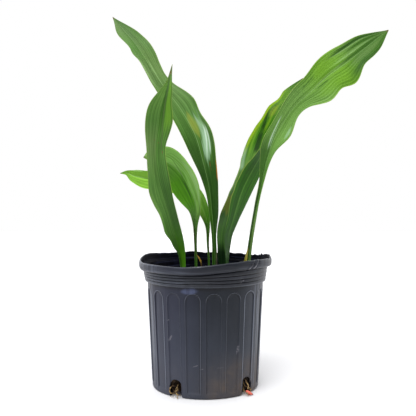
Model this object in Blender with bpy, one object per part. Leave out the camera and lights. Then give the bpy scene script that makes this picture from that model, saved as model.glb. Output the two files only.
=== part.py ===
"""Potted cast iron plant: a fluted nursery pot, soil, six leaves, bracts and roots.

Lengths in the tables are millimetres; everything is built in metres, +Z up,
with the pot standing on z = 0 and its axis on x = y = 0.
"""
import math

import bpy
import bmesh
import numpy as np

MM = 0.001
GAP = 0.3

# Pot, millimetres
POT_HEIGHT = 242.0
RIM_RADIUS = 127.0
RIM_WARP = 3.6
FOOT_RADIUS = 98.5
BODY_BASE_RADIUS = 100.8
BODY_TOP_RADIUS = 110.0
BODY_TOP_Z = 199.5
COLLAR_RADIUS = 114.8
COLLAR_Z = 201.5
BAND_Z = 225.5
WALL = 1.6
FLOOR_Z = 5.0
UNDERSIDE_RECESS = 3.0

# Flutes on the pot body
FLUTES = 18
FLUTE_PHASE = -12.0
FLUTE_DEPTH = 1.8
FLUTE_EDGE_IN = 7.2
FLUTE_EDGE_OUT = 8.4
ARCH_SPRING_Z = 177.0
ARCH_IN = 14.6
ARCH_OUT = 16.4
FLUTE_FOOT_Z = 8.0

# Drain holes at the foot of four flutes
HOLE_ANGLES = (-32.0, 48.0, 148.0, 228.0)
HOLE_WIDTH = 26.0
HOLE_TOP_Z = 32.0

# Soil
SOIL_EDGE_Z = 192.0
SOIL_CROWN_Z = 196.0
STEM_HOLE_Z = 184.0
FOOT = STEM_HOLE_Z + 1.6 * GAP
POCKET_RADIUS = 11.5
POCKET_Z = 17.0
POCKET_DEPTH = 18.0

# Leaf blades
BLADE_THICK = 0.7
RIB_THICK = 0.9
CREASE = 0.15
BLADE_COLUMNS = (-1.0, -0.62, -0.28, 0.0, 0.28, 0.62, 1.0)
ROW_STEP = 12.5

# Each row: x, y, z of the midrib, half width, roll and fold in degrees.
# Roll 0 turns the upper side to the front (-Y); fold closes the two halves.
LEAF_TALL = (
    (18, 10, FOOT, 3.6, 0, 45),
    (18, 12, 235, 3.6, 0, 45),
    (16, 18, 290, 4.2, 0, 42),
    (12, 22, 334, 12, 0, 38),
    (7, 26, 378, 20, 0, 25),
    (-4, 32, 424, 24.5, 5, 20),
    (-19, 40, 476, 28, 10, 18),
    (-47, 50, 528, 28.5, 20, 15),
    (-78, 58, 570, 25, 30, 12),
    (-109, 68, 616, 23.5, 38, 12),
    (-129, 76, 648, 21.5, 36, 10),
    (-148, 86, 674, 19.5, 28, 8),
    (-166, 94, 695, 13.5, 15, 5),
    (-189, 104, 723, 0.4, 0, 0),
)
LEAF_FRONT = (
    (-44, -22, FOOT, 6.5, 0, 50),
    (-45, -25, 237, 8.5, 0, 40),
    (-55, -34, 282, 14, 0, 35),
    (-65, -42, 320, 17, 0, 25),
    (-76, -52, 358, 20, 0, 20),
    (-86, -62, 400, 21.5, 10, 20),
    (-89, -70, 446, 21.5, 10, 22),
    (-85, -76, 482, 25, 5, 24),
    (-80, -80, 513, 25.5, 5, 26),
    (-72, -80, 543, 17, 5, 30),
    (-66, -76, 567, 8, 0, 30),
    (-59, -68, 598, 0.4, 0, 0),
)
LEAF_ARCHED = (
    (-18, 15, FOOT, 2, 0, 30),
    (-18, 15, 232, 2, 0, 30),
    (-19, 14, 275, 2.3, 0, 30),
    (-19, 12, 307, 4.5, -5, 35),
    (-18, 10, 339, 15, -15, 32),
    (-23, 9, 358, 24, -22, 28),
    (-33, 8, 380, 31, -25, 25),
    (-46, 6, 402, 33, -25, 22),
    (-62, 3, 418, 31, -20, 20),
    (-83, -2, 430, 25, -12, 18),
    (-102, -6, 436, 14, -5, 12),
    (-117, -8, 433, 0.4, 0, 0),
)
LEAF_LOW = (
    (7, 30, FOOT, 2, 0, 30),
    (7, 30, 231, 2, 0, 30),
    (5, 31, 268, 2.5, 0, 30),
    (4, 33, 305, 5.5, 0, 30),
    (-3, 36, 330, 10.5, 0, 25),
    (-18, 40, 357, 17, 0, 20),
    (-44, 45, 377, 22, 0, 15),
    (-82, 50, 390, 23, 0, 12),
    (-116, 55, 393, 17.5, 0, 10),
    (-142, 58, 399, 12.5, 0, 8),
    (-157, 60, 405, 4.5, 0, 5),
    (-170, 62, 404, 0.4, 0, 0),
)
LEAF_FOLDED = (
    (39, 5, FOOT, 7, -60, 55),
    (41, 5, 205, 10, -55, 56),
    (43, 5, 234, 20, -50, 57),
    (46, 5, 262, 23, -60, 60),
    (50, 6, 284, 27, -68, 58),
    (60, 8, 309, 34, -74, 58),
    (76, 11, 343, 40, -78, 62),
    (91, 15, 374, 43, -86, 64),
    (106, 20, 405, 46, -80, 62),
    (118, 26, 440, 46, -64, 56),
    (130, 34, 477, 43, -50, 50),
    (147, 42, 512, 36, -40, 45),
    (164, 50, 539, 28, -30, 35),
    (180, 56, 566, 17, -20, 20),
    (194, 62, 593, 0.4, 0, 0),
)
LEAF_BROAD = (
    (78, -8, FOOT, 5, 0, 40),
    (81, -10, 235, 5, 0, 40),
    (86, -12, 277, 4.4, 0, 40),
    (92, -14, 311, 4, 0, 40),
    (99, -16, 344, 3.6, 0, 40),
    (105, -18, 376, 4.5, -10, 35),
    (114, -22, 424, 15, -15, 30),
    (128, -28, 466, 24, -10, 25),
    (143, -32, 495, 26, -5, 20),
    (165, -38, 526, 27, 0, 15),
    (193, -42, 552, 32, 0, 12),
    (224, -44, 580, 36, 0, 10),
    (261, -44, 607, 34, 0, 8),
    (293, -40, 632, 25, 0, 6),
    (318, -36, 652, 12, 0, 4),
    (338, -32, 667, 0.4, 0, 0),
)

# Margin waves: height of the wave, number of waves, phase
LEAVES = {
    "leaf_tall": (LEAF_TALL, (2.5, 5.0, 0.6), 3.4),
    "leaf_front": (LEAF_FRONT, (2.0, 4.0, 0.2), 3.4),
    "leaf_arched": (LEAF_ARCHED, (1.0, 3.0, 0.0), 2.4),
    "leaf_low": (LEAF_LOW, (0.8, 3.0, 0.0), 2.4),
    "leaf_folded": (LEAF_FOLDED, (1.5, 4.0, 1.0), 3.0),
    "leaf_broad": (LEAF_BROAD, (3.0, 6.0, 0.0), 4.0),
}

# Dry bracts and a young shoot at the foot of the leaves
BRACTS = {
    "shoot_young": (
        ((-6, 2, FOOT, 2.4, 0, 40), (-7, 1, 215, 2.4, 0, 40), (-8, 0, 238, 0.5, 0, 20)), 2.6),
    "bract_amber": (
        ((-12, -4, FOOT, 2.2, 0, 30), (-10, -5, 222, 2.2, 0, 30), (-11, -6, 238, 2.0, 0, 20),
         (-17, -7, 248, 0.4, 0, 0)), 1.2),
    "bract_grey": (
        ((20, -4, FOOT, 2.0, 20, 25), (21, -5, 230, 1.8, 20, 25), (21, -6, 258, 0.4, 0, 0)), 1.0),
    "bract_straw": (
        ((70, -16, FOOT, 3.0, 30, 35), (72, -17, 225, 2.8, 30, 35), (76, -19, 258, 0.5, 20, 10)), 1.2),
}

# Stem holes in the soil: x, y, radius
STEM_HOLES = {
    "leaf_tall": (18.0, 10.0, 6.0),
    "leaf_front": (-44.0, -23.0, 9.0),
    "leaf_arched": (-18.0, 15.0, 4.0),
    "leaf_low": (7.0, 30.0, 4.0),
    "leaf_folded": (37.0, 2.0, 11.0),
    "leaf_broad": (78.5, -8.0, 7.5),
    "shoot_young": (-6.0, 2.0, 4.5),
    "bract_amber": (-12.0, -4.5, 3.6),
    "bract_grey": (20.5, -4.5, 3.6),
    "bract_straw": (70.0, -16.5, 4.5),
}

# Root loops that hang out of two drain holes: distance out from the inner
# wall, across the hole and up
ROOT_RADIUS = 1.4
ROOT_STEP = 3.5
ROOT_LOOPS = {
    "root_left": (-32.0, (
        (-17.4, -4, 17), (-9, -4, 18), (-3, -6, 22), (6, -8, 20), (9, -9, 11), (5, -6, 5),
        (7, -1, 9), (6, 1, 18), (5, 5, 23), (8, 8, 15), (9, 7, 6), (12, 9, 3))),
    "root_right": (48.0, (
        (-17.4, 3, 18), (-9, 3, 20), (-3, 5, 24), (6, 4, 27), (10, 1, 20), (6, -2, 14),
        (7, -6, 20), (8, -8, 12), (9, -5, 5), (12, 2, 3), (16, 6, 2), (20, 1, 3))),
}


def hermite(knots, values, at):
    """Smooth curve through the values at uneven knots."""
    knots = np.asarray(knots, float)
    values = np.asarray(values, float)
    gaps = np.diff(knots)
    rise = np.diff(values, axis=0) / gaps[:, None]
    slope = np.zeros_like(values)
    slope[0] = rise[0]
    slope[-1] = rise[-1]
    both = (gaps[:-1] + gaps[1:])[:, None]
    slope[1:-1] = (rise[:-1] * gaps[1:, None] + rise[1:] * gaps[:-1, None]) / both
    at = np.asarray(at, float)
    i = np.clip(np.searchsorted(knots, at, side="right") - 1, 0, len(knots) - 2)
    span = gaps[i][:, None]
    t = ((at - knots[i]) / gaps[i])[:, None]
    start = (2 * t ** 3 - 3 * t ** 2 + 1) * values[i]
    leave = (t ** 3 - 2 * t ** 2 + t) * span * slope[i]
    end = (3 * t ** 2 - 2 * t ** 3) * values[i + 1]
    arrive = (t ** 3 - t ** 2) * span * slope[i + 1]
    return start + leave + end + arrive


def units(v):
    """Rows of v at length one."""
    return v / np.linalg.norm(v, axis=-1, keepdims=True)


def arc_knots(points):
    """Distance along a line of points, from 0 to 1, and its length."""
    steps = np.linalg.norm(np.diff(points, axis=0), axis=1)
    along = np.concatenate([[0.0], np.cumsum(steps)])
    return along / along[-1], along[-1]


def blade_surface(stations, wave, columns, rows):
    """Upper face of a blade as a grid of points, its normals and half widths."""
    table = np.array(stations, float)
    knots, _ = arc_knots(table[:, :3])
    s = np.linspace(0.0, 1.0, rows)
    line = hermite(knots, table, s)
    ahead = hermite(knots, table[:, :3], np.clip(s + 1e-3, 0, 1))
    behind = hermite(knots, table[:, :3], np.clip(s - 1e-3, 0, 1))
    tangent = units(ahead - behind)
    half = np.maximum(line[:, 3], 0.3)
    roll = np.radians(line[:, 4])[:, None]
    fold = np.radians(line[:, 5])
    level = units(np.cross(tangent, np.array([[0.0, 1.0, 0.0]])))
    facing = np.cross(tangent, level)
    across = np.cos(roll) * level + np.sin(roll) * facing
    out = np.cross(tangent, across)
    u = np.asarray(columns)
    height, count, phase = wave
    rise = np.sqrt(u ** 2 + CREASE ** 2) - CREASE
    grid = np.zeros((rows, len(u), 3))
    for j, uj in enumerate(u):
        side = phase if uj < 0 else phase + 2.1
        swell = height * np.minimum(half / half.max(), 1.0) * uj ** 2
        bump = swell * np.sin(2 * math.pi * count * s + side)
        flat = half * uj * np.cos(fold)
        lift = half * rise[j] * np.sin(fold) + bump
        grid[:, j] = line[:, :3] + across * flat[:, None] + out * lift[:, None]
    along = np.gradient(grid, axis=0)
    sideways = np.gradient(grid, u, axis=1)
    normal = units(np.cross(along, sideways))
    return grid, normal, half, s


def blade_thickness(half, s, columns, stalk):
    """Thickness grid: a stout stalk that thins to a blade with a midrib."""
    u = np.asarray(columns)[None, :]
    near = (s < 0.5)[:, None]
    q = np.clip((13.0 - half) / 8.0, 0.0, 1.0)[:, None] * near
    tip = np.clip(half / 6.0, 0.2, 1.0)[:, None]
    middle = q * (stalk - BLADE_THICK) + (1 - q) * RIB_THICK * np.where(near, 1.0, tip)
    spread = 0.75 * q + 0.16 * (1 - q)
    return BLADE_THICK + middle * np.exp(-(u / spread) ** 2)


def new_object(name, verts, faces, mat):
    """Mesh object from points in millimetres."""
    mesh = bpy.data.meshes.new(name)
    mesh.from_pydata([tuple(c * MM for c in v) for v in verts], [], faces)
    mesh.update()
    bm = bmesh.new()
    bm.from_mesh(mesh)
    bmesh.ops.recalc_face_normals(bm, faces=bm.faces)
    bm.to_mesh(mesh)
    bm.free()
    mesh.shade_smooth()
    mesh.set_sharp_from_angle(angle=math.radians(35.0))
    mesh.materials.append(mat)
    obj = bpy.data.objects.new(name, mesh)
    bpy.context.collection.objects.link(obj)
    return obj


def blade_solid(name, stations, wave, stalk, mat, columns, step=ROW_STEP):
    """One closed blade, both faces split into the same triangles."""
    table = np.array(stations, float)
    _, length = arc_knots(table[:, :3])
    rows = max(int(round(length / step)), 6)
    grid, normal, half, s = blade_surface(stations, wave, columns, rows)
    thick = blade_thickness(half, s, columns, stalk)
    back = grid - normal * thick[:, :, None]
    n = len(columns)
    verts = list(grid.reshape(-1, 3)) + list(back.reshape(-1, 3))
    low = rows * n
    faces = []
    for i in range(rows - 1):
        for j in range(n - 1):
            a = i * n + j
            b = a + 1
            c = a + n + 1
            d = a + n
            if j < n // 2:
                tris = ((a, b, c), (a, c, d))
            else:
                tris = ((a, b, d), (b, c, d))
            faces += tris
            faces += [tuple(low + k for k in reversed(t)) for t in tris]
        for j in (0, n - 1):
            a = i * n + j
            d = a + n
            faces += [(a, d, low + d), (a, low + d, low + a)]
    for i in (0, rows - 1):
        for j in range(n - 1):
            a = i * n + j
            faces += [(a, a + 1, low + a + 1), (a, low + a + 1, low + a)]
    return new_object(name, verts, faces, mat)


def ring(radius, z, count, warp=0.0):
    """Level ring of points; angle 0 is the front and turns to the right."""
    pts = []
    for k in range(count):
        a = 2 * math.pi * k / count + math.radians(FLUTE_PHASE)
        lift = warp * math.sin(a)
        pts.append((radius * math.sin(a), -radius * math.cos(a), z + lift))
    return pts


def body_radius(z):
    """Outer radius of the plain pot body."""
    t = (z - 1.5) / (BODY_TOP_Z - 1.5)
    return BODY_BASE_RADIUS + t * (BODY_TOP_RADIUS - BODY_BASE_RADIUS)


def flute_columns():
    """Angles round the pot, eight to a flute, with their place in the flute."""
    inside = (-10.0, -FLUTE_EDGE_OUT, -FLUTE_EDGE_IN, -4.2, 0.0, 4.2, FLUTE_EDGE_IN, FLUTE_EDGE_OUT)
    out = []
    for k in range(FLUTES):
        for phi in inside:
            out.append((math.radians(FLUTE_PHASE + 20.0 * k + phi), phi))
    return out


def flute_row(level):
    """One fine ring of the fluted body."""
    pts = []
    for a, phi in flute_columns():
        x = abs(math.radians(phi)) * BODY_TOP_RADIUS
        recess = 0.0
        if level == "foot":
            z = FLUTE_FOOT_Z
        elif level == "low":
            z = FLUTE_FOOT_Z + 6.0
            recess = FLUTE_DEPTH if abs(phi) <= FLUTE_EDGE_IN + 0.1 else 0.0
        elif level == "arch_in":
            z = ARCH_SPRING_Z + math.sqrt(max(ARCH_IN ** 2 - x ** 2, 0.0))
            z -= 1.0 if abs(phi) > 9 else 0.0
            recess = FLUTE_DEPTH if abs(phi) <= FLUTE_EDGE_IN + 0.1 else 0.0
        else:
            z = ARCH_SPRING_Z + math.sqrt(max(ARCH_OUT ** 2 - x ** 2, 0.0))
            z += 1.0 if abs(phi) > 9 else 0.0
        r = body_radius(z) - recess
        pts.append((r * math.sin(a), -r * math.cos(a), z))
    return pts


def plain_fine_ring(radius, z):
    """Fine ring at the angles of the flutes."""
    return [(radius * math.sin(a), -radius * math.cos(a), z) for a, _ in flute_columns()]


def coarse_ring(radius, z, warp=0.0):
    """Every second column of the fine ring."""
    cols = flute_columns()[::2]
    return [(radius * math.sin(a), -radius * math.cos(a), z + warp * math.sin(a)) for a, _ in cols]


def skin(name, rings, bottom, top, mat):
    """Closed surface over rings; neighbours have equal or doubled counts."""
    verts = []
    starts = []
    for r in rings:
        starts.append(len(verts))
        verts += r
    faces = []
    for i in range(len(rings) - 1):
        a, b = starts[i], starts[i + 1]
        na, nb = len(rings[i]), len(rings[i + 1])
        if na == nb:
            faces += [(a + k, a + (k + 1) % na, b + (k + 1) % nb, b + k) for k in range(na)]
        elif na > nb:
            for k in range(nb):
                p, m, q = a + 2 * k, a + 2 * k + 1, a + (2 * k + 2) % na
                faces += [(p, m, b + k), (m, b + (k + 1) % nb, b + k), (m, q, b + (k + 1) % nb)]
        else:
            for k in range(na):
                p, m, q = b + 2 * k, b + 2 * k + 1, b + (2 * k + 2) % nb
                faces += [(p, a + k, m), (m, a + k, a + (k + 1) % na), (m, a + (k + 1) % na, q)]
    for centre, start, count in ((bottom, starts[0], len(rings[0])), (top, starts[-1], len(rings[-1]))):
        verts.append(centre)
        hub = len(verts) - 1
        faces += [(hub, start + k, start + (k + 1) % count) for k in range(count)]
    return new_object(name, verts, faces, mat)


def inner_radius(z):
    """Inside radius of the pot, plain cone behind the flutes."""
    return body_radius(z) - FLUTE_DEPTH - WALL


def pot_rings():
    """Rings from the underside, up the outside, over the rim and down inside."""
    rings = [
        coarse_ring(30.0, 0.0),
        coarse_ring(36.0, UNDERSIDE_RECESS),
        coarse_ring(86.0, UNDERSIDE_RECESS),
        coarse_ring(90.0, 0.0),
        plain_fine_ring(FOOT_RADIUS, 0.0),
        plain_fine_ring(BODY_BASE_RADIUS - 0.2, 1.5),
        flute_row("foot"),
        flute_row("low"),
        flute_row("arch_in"),
        flute_row("arch_out"),
        plain_fine_ring(BODY_TOP_RADIUS, BODY_TOP_Z),
    ]
    collar = (
        (COLLAR_RADIUS, COLLAR_Z), (115.2, 206.0), (114.3, 207.3), (116.0, 208.8),
        (116.3, 213.5), (115.4, 214.8), (117.1, 216.3), (117.6, BAND_Z),
    )
    rim = (
        (124.2, 227.0), (126.6, 230.5), (RIM_RADIUS, 237.0), (126.0, 240.6),
        (124.2, POT_HEIGHT), (122.4, 240.6), (121.7, 237.0), (121.0, 230.0), (116.0, 227.6),
    )
    inside = ((113.2, 203.5), (inner_radius(195.0), 195.5))
    for r, z in collar:
        fade = max(z - COLLAR_Z, 0.0) / (BAND_Z - COLLAR_Z)
        rings.append(coarse_ring(r, z, RIM_WARP * fade))
    for r, z in rim:
        rings.append(coarse_ring(r, z, RIM_WARP))
    for r, z in inside:
        rings.append(coarse_ring(r, z))
    rings.append(coarse_ring(inner_radius(12.0), 12.0))
    rings.append(coarse_ring(inner_radius(6.0) - 4.0, FLOOR_Z))
    return rings


def hole_cutter(angle):
    """Arched prism through the wall at the foot of a flute."""
    half = HOLE_WIDTH / 2
    spring = HOLE_TOP_Z - half
    outline = [(-half, -2.0), (half, -2.0)]
    for k in range(9):
        t = math.pi * k / 8
        outline.append((half * math.cos(t), spring + half * math.sin(t)))
    a = math.radians(angle)
    out = (math.sin(a), -math.cos(a))
    side = (math.cos(a), math.sin(a))
    verts = []
    for r in (87.9, 125.0):
        for x, z in outline:
            verts.append((out[0] * r + side[0] * x, out[1] * r + side[1] * x, z))
    return prism("cut_hole", verts, len(outline))


def prism(name, verts, n):
    """Closed prism between two outlines of n points."""
    faces = [tuple(range(n)), tuple(range(2 * n - 1, n - 1, -1))]
    faces += [(k, (k + 1) % n, n + (k + 1) % n, n + k) for k in range(n)]
    obj = new_object(name, verts, faces, material("cutter", (0.5, 0.5, 0.5), 0.5))
    obj.hide_render = True
    obj.display_type = "WIRE"
    return obj


def rod_cutter(centre, direction, radius, length, sides):
    """Round rod from a centre point along a direction."""
    d = np.array(direction, float)
    d = d / np.linalg.norm(d)
    helper = np.array([0.0, 0.0, 1.0]) if abs(d[2]) < 0.9 else np.array([1.0, 0.0, 0.0])
    e = np.cross(d, helper)
    e = e / np.linalg.norm(e)
    f = np.cross(d, e)
    verts = []
    for k in (0.0, length):
        for i in range(sides):
            t = 2 * math.pi * (i + 0.5) / sides
            p = np.array(centre) + d * k + radius * (math.cos(t) * e + math.sin(t) * f)
            verts.append(tuple(p))
    return prism("cut_rod", verts, sides)


def cut(obj, cutter):
    """Subtract a cutter and take it away."""
    mod = obj.modifiers.new("cut", "BOOLEAN")
    mod.operation = "DIFFERENCE"
    mod.solver = "EXACT"
    mod.object = cutter
    graph = bpy.context.evaluated_depsgraph_get()
    mesh = bpy.data.meshes.new_from_object(obj.evaluated_get(graph))
    obj.modifiers.clear()
    obj.data = mesh
    bpy.data.objects.remove(cutter, do_unlink=True)


def material(name, colour, rough):
    """Plain material for one kind of surface."""
    mat = bpy.data.materials.get(name)
    if mat is None:
        mat = bpy.data.materials.new(name)
        mat.use_nodes = True
        bsdf = mat.node_tree.nodes["Principled BSDF"]
        bsdf.inputs["Base Color"].default_value = (*colour, 1.0)
        bsdf.inputs["Roughness"].default_value = rough
    return mat


def make_pot():
    """Fluted pot with four drain holes."""
    mat = material("black_plastic", (0.035, 0.038, 0.05), 0.42)
    pot = skin("pot", pot_rings(), (0, 0, 0), (0, 0, FLOOR_Z), mat)
    for angle in HOLE_ANGLES:
        cut(pot, hole_cutter(angle))
    return pot


def soil_rings():
    """Rings of the soil block, just clear of the pot."""
    sides = 48
    low = inner_radius(6.0) - 4.0 - 1.5
    rows = (
        (low, FLOOR_Z + GAP),
        (inner_radius(12.0) - 2 * GAP, 12.5),
        (inner_radius(SOIL_EDGE_Z) - 2 * GAP, SOIL_EDGE_Z - 3.0),
        (inner_radius(SOIL_EDGE_Z) - 3.5, SOIL_EDGE_Z),
        (70.0, SOIL_CROWN_Z - 1.5),
        (35.0, SOIL_CROWN_Z),
    )
    return [ring(r, z, sides) for r, z in rows]


def make_soil():
    """Soil with plain stem holes and a pocket behind each rooted drain hole."""
    mat = material("soil", (0.05, 0.035, 0.025), 0.95)
    soil = skin("soil", soil_rings(), (0, 0, FLOOR_Z + GAP), (0, 0, SOIL_CROWN_Z), mat)
    for x, y, r in STEM_HOLES.values():
        cut(soil, rod_cutter((x, y, STEM_HOLE_Z), (0, 0, 1), r, 30.0, 16))
    for angle, _ in ROOT_LOOPS.values():
        a = math.radians(angle)
        out = np.array([math.sin(a), -math.cos(a), 0.0])
        start = out * (inner_radius(POCKET_Z) - POCKET_DEPTH) + np.array([0, 0, POCKET_Z])
        cut(soil, rod_cutter(start, out, POCKET_RADIUS, 40.0, 14))
    return soil


def make_leaves():
    """Six leaves, each blade and stalk in one piece."""
    for name, (stations, wave, stalk) in LEAVES.items():
        mat = material(name + "_green", (0.10, 0.22, 0.05), 0.4)
        blade_solid(name, stations, wave, stalk, mat, BLADE_COLUMNS)


def make_bracts():
    """Young shoot and dry bracts."""
    tint = {
        "shoot_young": (0.09, 0.2, 0.03),
        "bract_amber": (0.55, 0.36, 0.05),
        "bract_grey": (0.3, 0.3, 0.2),
        "bract_straw": (0.6, 0.55, 0.2),
    }
    for name, (stations, thick) in BRACTS.items():
        mat = material(name, tint[name], 0.6)
        blade_solid(name, stations, (0.0, 1.0, 0.0), thick, mat, (-1.0, 0.0, 1.0), 6.0)


def make_roots():
    """Looping roots that come out of two drain holes."""
    mat = material("root", (0.42, 0.3, 0.14), 0.7)
    for name, (angle, path) in ROOT_LOOPS.items():
        a = math.radians(angle)
        out = np.array([math.sin(a), -math.cos(a), 0.0])
        side = np.array([math.cos(a), math.sin(a), 0.0])
        wall = body_radius(POCKET_Z) - FLUTE_DEPTH - WALL
        pts = [out * (wall + o) + side * x + np.array([0, 0, z]) for o, x, z in path]
        tube(name, np.array(pts), ROOT_RADIUS, mat)


def tube(name, points, radius, mat):
    """Closed round tube along a smooth path, thinner at its free end."""
    knots, length = arc_knots(points)
    count = int(length / ROOT_STEP)
    s = np.linspace(0.0, 1.0, count)
    curve = bpy.data.curves.new(name, "CURVE")
    curve.dimensions = "3D"
    curve.bevel_depth = radius * MM
    curve.bevel_resolution = 1
    curve.use_fill_caps = True
    spline = curve.splines.new("POLY")
    spline.points.add(count - 1)
    for point, place, along in zip(spline.points, hermite(knots, points, s) * MM, s):
        point.co = (*place, 1.0)
        point.radius = 1.0 - 0.5 * along ** 3
    curve.materials.append(mat)
    obj = bpy.data.objects.new(name, curve)
    bpy.context.collection.objects.link(obj)
    return obj


def main():
    for obj in list(bpy.data.objects):
        bpy.data.objects.remove(obj, do_unlink=True)
    bpy.context.scene.unit_settings.system = "METRIC"
    make_pot()
    make_soil()
    make_leaves()
    make_bracts()
    make_roots()
    plant = bpy.data.objects.new("potted_plant", None)
    bpy.context.collection.objects.link(plant)
    for obj in list(bpy.data.objects):
        if obj is not plant:
            obj.parent = plant


main()
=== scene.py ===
"""Potted cast iron plant: fluted nursery pot, soil, six leaves, bracts and roots.

Laid out as an add-on: each operator makes one piece, or one group of like pieces,
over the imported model, and the last one sets the stage. Tables are in millimetres and
degrees, meshes in metres.
"""
import math

import bpy
import bmesh
import numpy as np
from bpy.props import FloatProperty, FloatVectorProperty, IntProperty, PointerProperty
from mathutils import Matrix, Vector


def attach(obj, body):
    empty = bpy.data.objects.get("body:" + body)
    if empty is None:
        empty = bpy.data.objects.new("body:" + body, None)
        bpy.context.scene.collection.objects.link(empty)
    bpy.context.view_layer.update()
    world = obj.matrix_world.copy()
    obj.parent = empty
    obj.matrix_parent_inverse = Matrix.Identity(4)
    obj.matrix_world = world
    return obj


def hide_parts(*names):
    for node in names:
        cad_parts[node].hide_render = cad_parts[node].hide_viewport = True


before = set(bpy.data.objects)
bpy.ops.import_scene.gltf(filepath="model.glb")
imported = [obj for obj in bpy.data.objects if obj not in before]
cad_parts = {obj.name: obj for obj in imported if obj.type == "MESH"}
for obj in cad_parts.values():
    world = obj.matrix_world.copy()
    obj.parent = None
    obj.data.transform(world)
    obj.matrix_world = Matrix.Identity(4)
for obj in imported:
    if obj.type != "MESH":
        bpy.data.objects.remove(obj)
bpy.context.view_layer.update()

bl_info = {
    "name": "Potted cast iron plant",
    "version": (1, 0, 0),
    "blender": (4, 5, 0),
    "location": "View3D > Sidebar > Plant",
    "description": "Leaves, soil, roots and fluted pot of a potted cast iron plant",
    "category": "Add Mesh",
}

MM = 0.001
TWO_PI = 2 * math.pi
BODY = "root"

# ---------------------------------------------------------------- sizes of the pot

# Radius and height at the foot and at the top of the plain body
BODY_BASE = (100.8, 1.5)
BODY_TOP = (110.0, 199.5)
# Corners of the underside: radius, height and how far the corner is rounded off
FOOT_PROFILE = (
    (0.0, 0.0, 0), (30.0, 0.0, 1), (36.0, 3.0, 1), (86.0, 3.0, 1), (90.0, 0.0, 1),
    (98.5, 0.0, 1.2), (100.8, 1.5, 0.8), (101.0, 4.0, 0),
)
# Corners of the collar, rolled rim, inner wall and floor, given the same way
COLLAR_PROFILE = (
    (110.0, 198.9, 0), (110.1, 200.6, 0.8), (114.6, 201.5, 0.9), (115.2, 206.0, 0.7),
    (113.9, 207.3, 0.6), (116.0, 208.6, 0.7), (116.3, 211.6, 0.7), (114.9, 213.0, 0.6),
    (116.9, 214.3, 0.7), (117.2, 217.6, 0.7), (115.9, 218.9, 0.6), (117.6, 220.2, 0.7),
    (117.9, 223.6, 0.7), (116.9, 225.3, 0.6), (124.0, 226.6, 1.4), (126.5, 229.6, 2.0),
    (126.9, 237.0, 2.5), (126.0, 240.8, 1.6), (124.2, 242.0, 1.4), (122.3, 240.8, 1.4),
    (121.6, 236.0, 1.5), (120.6, 229.4, 2.0), (116.0, 226.6, 1.4), (115.5, 216.8, 0.8),
    (113.9, 215.4, 0.8), (114.8, 213.8, 0.8), (114.4, 209.2, 0.8), (112.8, 207.8, 0.8),
    (113.6, 206.0, 0.8), (113.0, 202.8, 1.0), (107.0, 199.0, 1.5), (106.4, 195.0, 1.0),
    (98.0, 12.0, 2.0), (93.6, 5.0, 1.5), (40.0, 5.0, 0), (0.0, 5.0, 0),
)
POT_FLOOR_Z = 5.0
INNER_FLOOR_RADIUS = 98.0
# Heights of the collar's foot and of the rim band's foot
COLLAR_Z = 201.5
BAND_Z = 225.5
BAND_RADIUS = 124.0

# Flutes: height and radius of their arches, angle of the first, and where they fade out
ARCH_SPRING_Z = 176.0
ARCH_RADIUS = 14.2
FLUTE_PHASE = -12.0
FLUTE_FOOT = (7.0, 13.0)
# Painted highlight on the beaded edge of each flute, counted to the right from FLUTE_PHASE:
# its left side, its right side and its arch
FLUTE_EDGE_LIGHT = {
    15: (1.6, 1.6, 0.8), 16: (1.2, 1.6, 0.9), 17: (0.12, 0.12, 0.35), 0: (0.2, 0.7, 0.8),
    1: (0.04, 0.08, 0.75), 2: (0.45, 0.1, 0.85), 3: (1.9, 1.6, 1.2), 4: (1.8, 1.6, 0.9),
}
PLAIN_EDGE_LIGHT = (0.5, 0.4, 0.7)

# Drain holes: angles, top, and the radii between which they are cut
HOLE_ANGLES = (-32.0, 48.0, 148.0, 228.0)
HOLE_TOP_Z = 32.0
HOLE_BOTTOM_Z = -2.0
HOLE_REACH = (87.9, 125.0)
# Height at the middle of a hole, and depth of the flute and the wall together there
HOLE_MIDDLE_Z = 17.0
HOLE_WALL = 3.4

# Dents: angle, height, radius and depth
DENTS = (
    (35.0, 211.0, 6.0, 1.6),
    (32.0, 207.0, 3.0, -0.8),
    (-17.5, 206.0, 4.0, 1.3),
    (-12.0, 196.5, 7.0, -1.0),
    (-14.0, 24.0, 9.0, 0.8),
    (6.0, 30.0, 11.0, 0.7),
    (-168.0, 120.0, 16.0, 1.2),
    (95.0, 70.0, 12.0, 0.9),
)
# Creases across the rim band: angle at its foot, lean, width and height
RIM_CREASES = (
    (36.5, 0.42, 1.6, 1.3),
    (39.2, 0.46, 1.5, -1.8),
    (41.6, 0.40, 1.3, 1.4),
    (45.5, 0.34, 1.6, -1.2),
)
# Angles between which the pot's mesh is finer, for the creases
CREASED_STRETCH = (33.3, 54.0)
# Slow rise and fall of the soft rim: angle and height
RIM_LIFT = (
    (-180, -0.5), (-170, 2.0), (-150, 2.0), (-112, 6.0), (-95, 3.0), (-75, 0.5), (-40, 0.0), (-5, -2.0),
    (15, 1.5), (35, 3.5), (60, 2.5), (80, 0.5), (100, 1.0), (130, -5.0), (155, -3.0), (180, -0.5),
)
# Angles between which the rim's edge is frayed
FRAYED_RIM = (98.0, 138.0)
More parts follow.
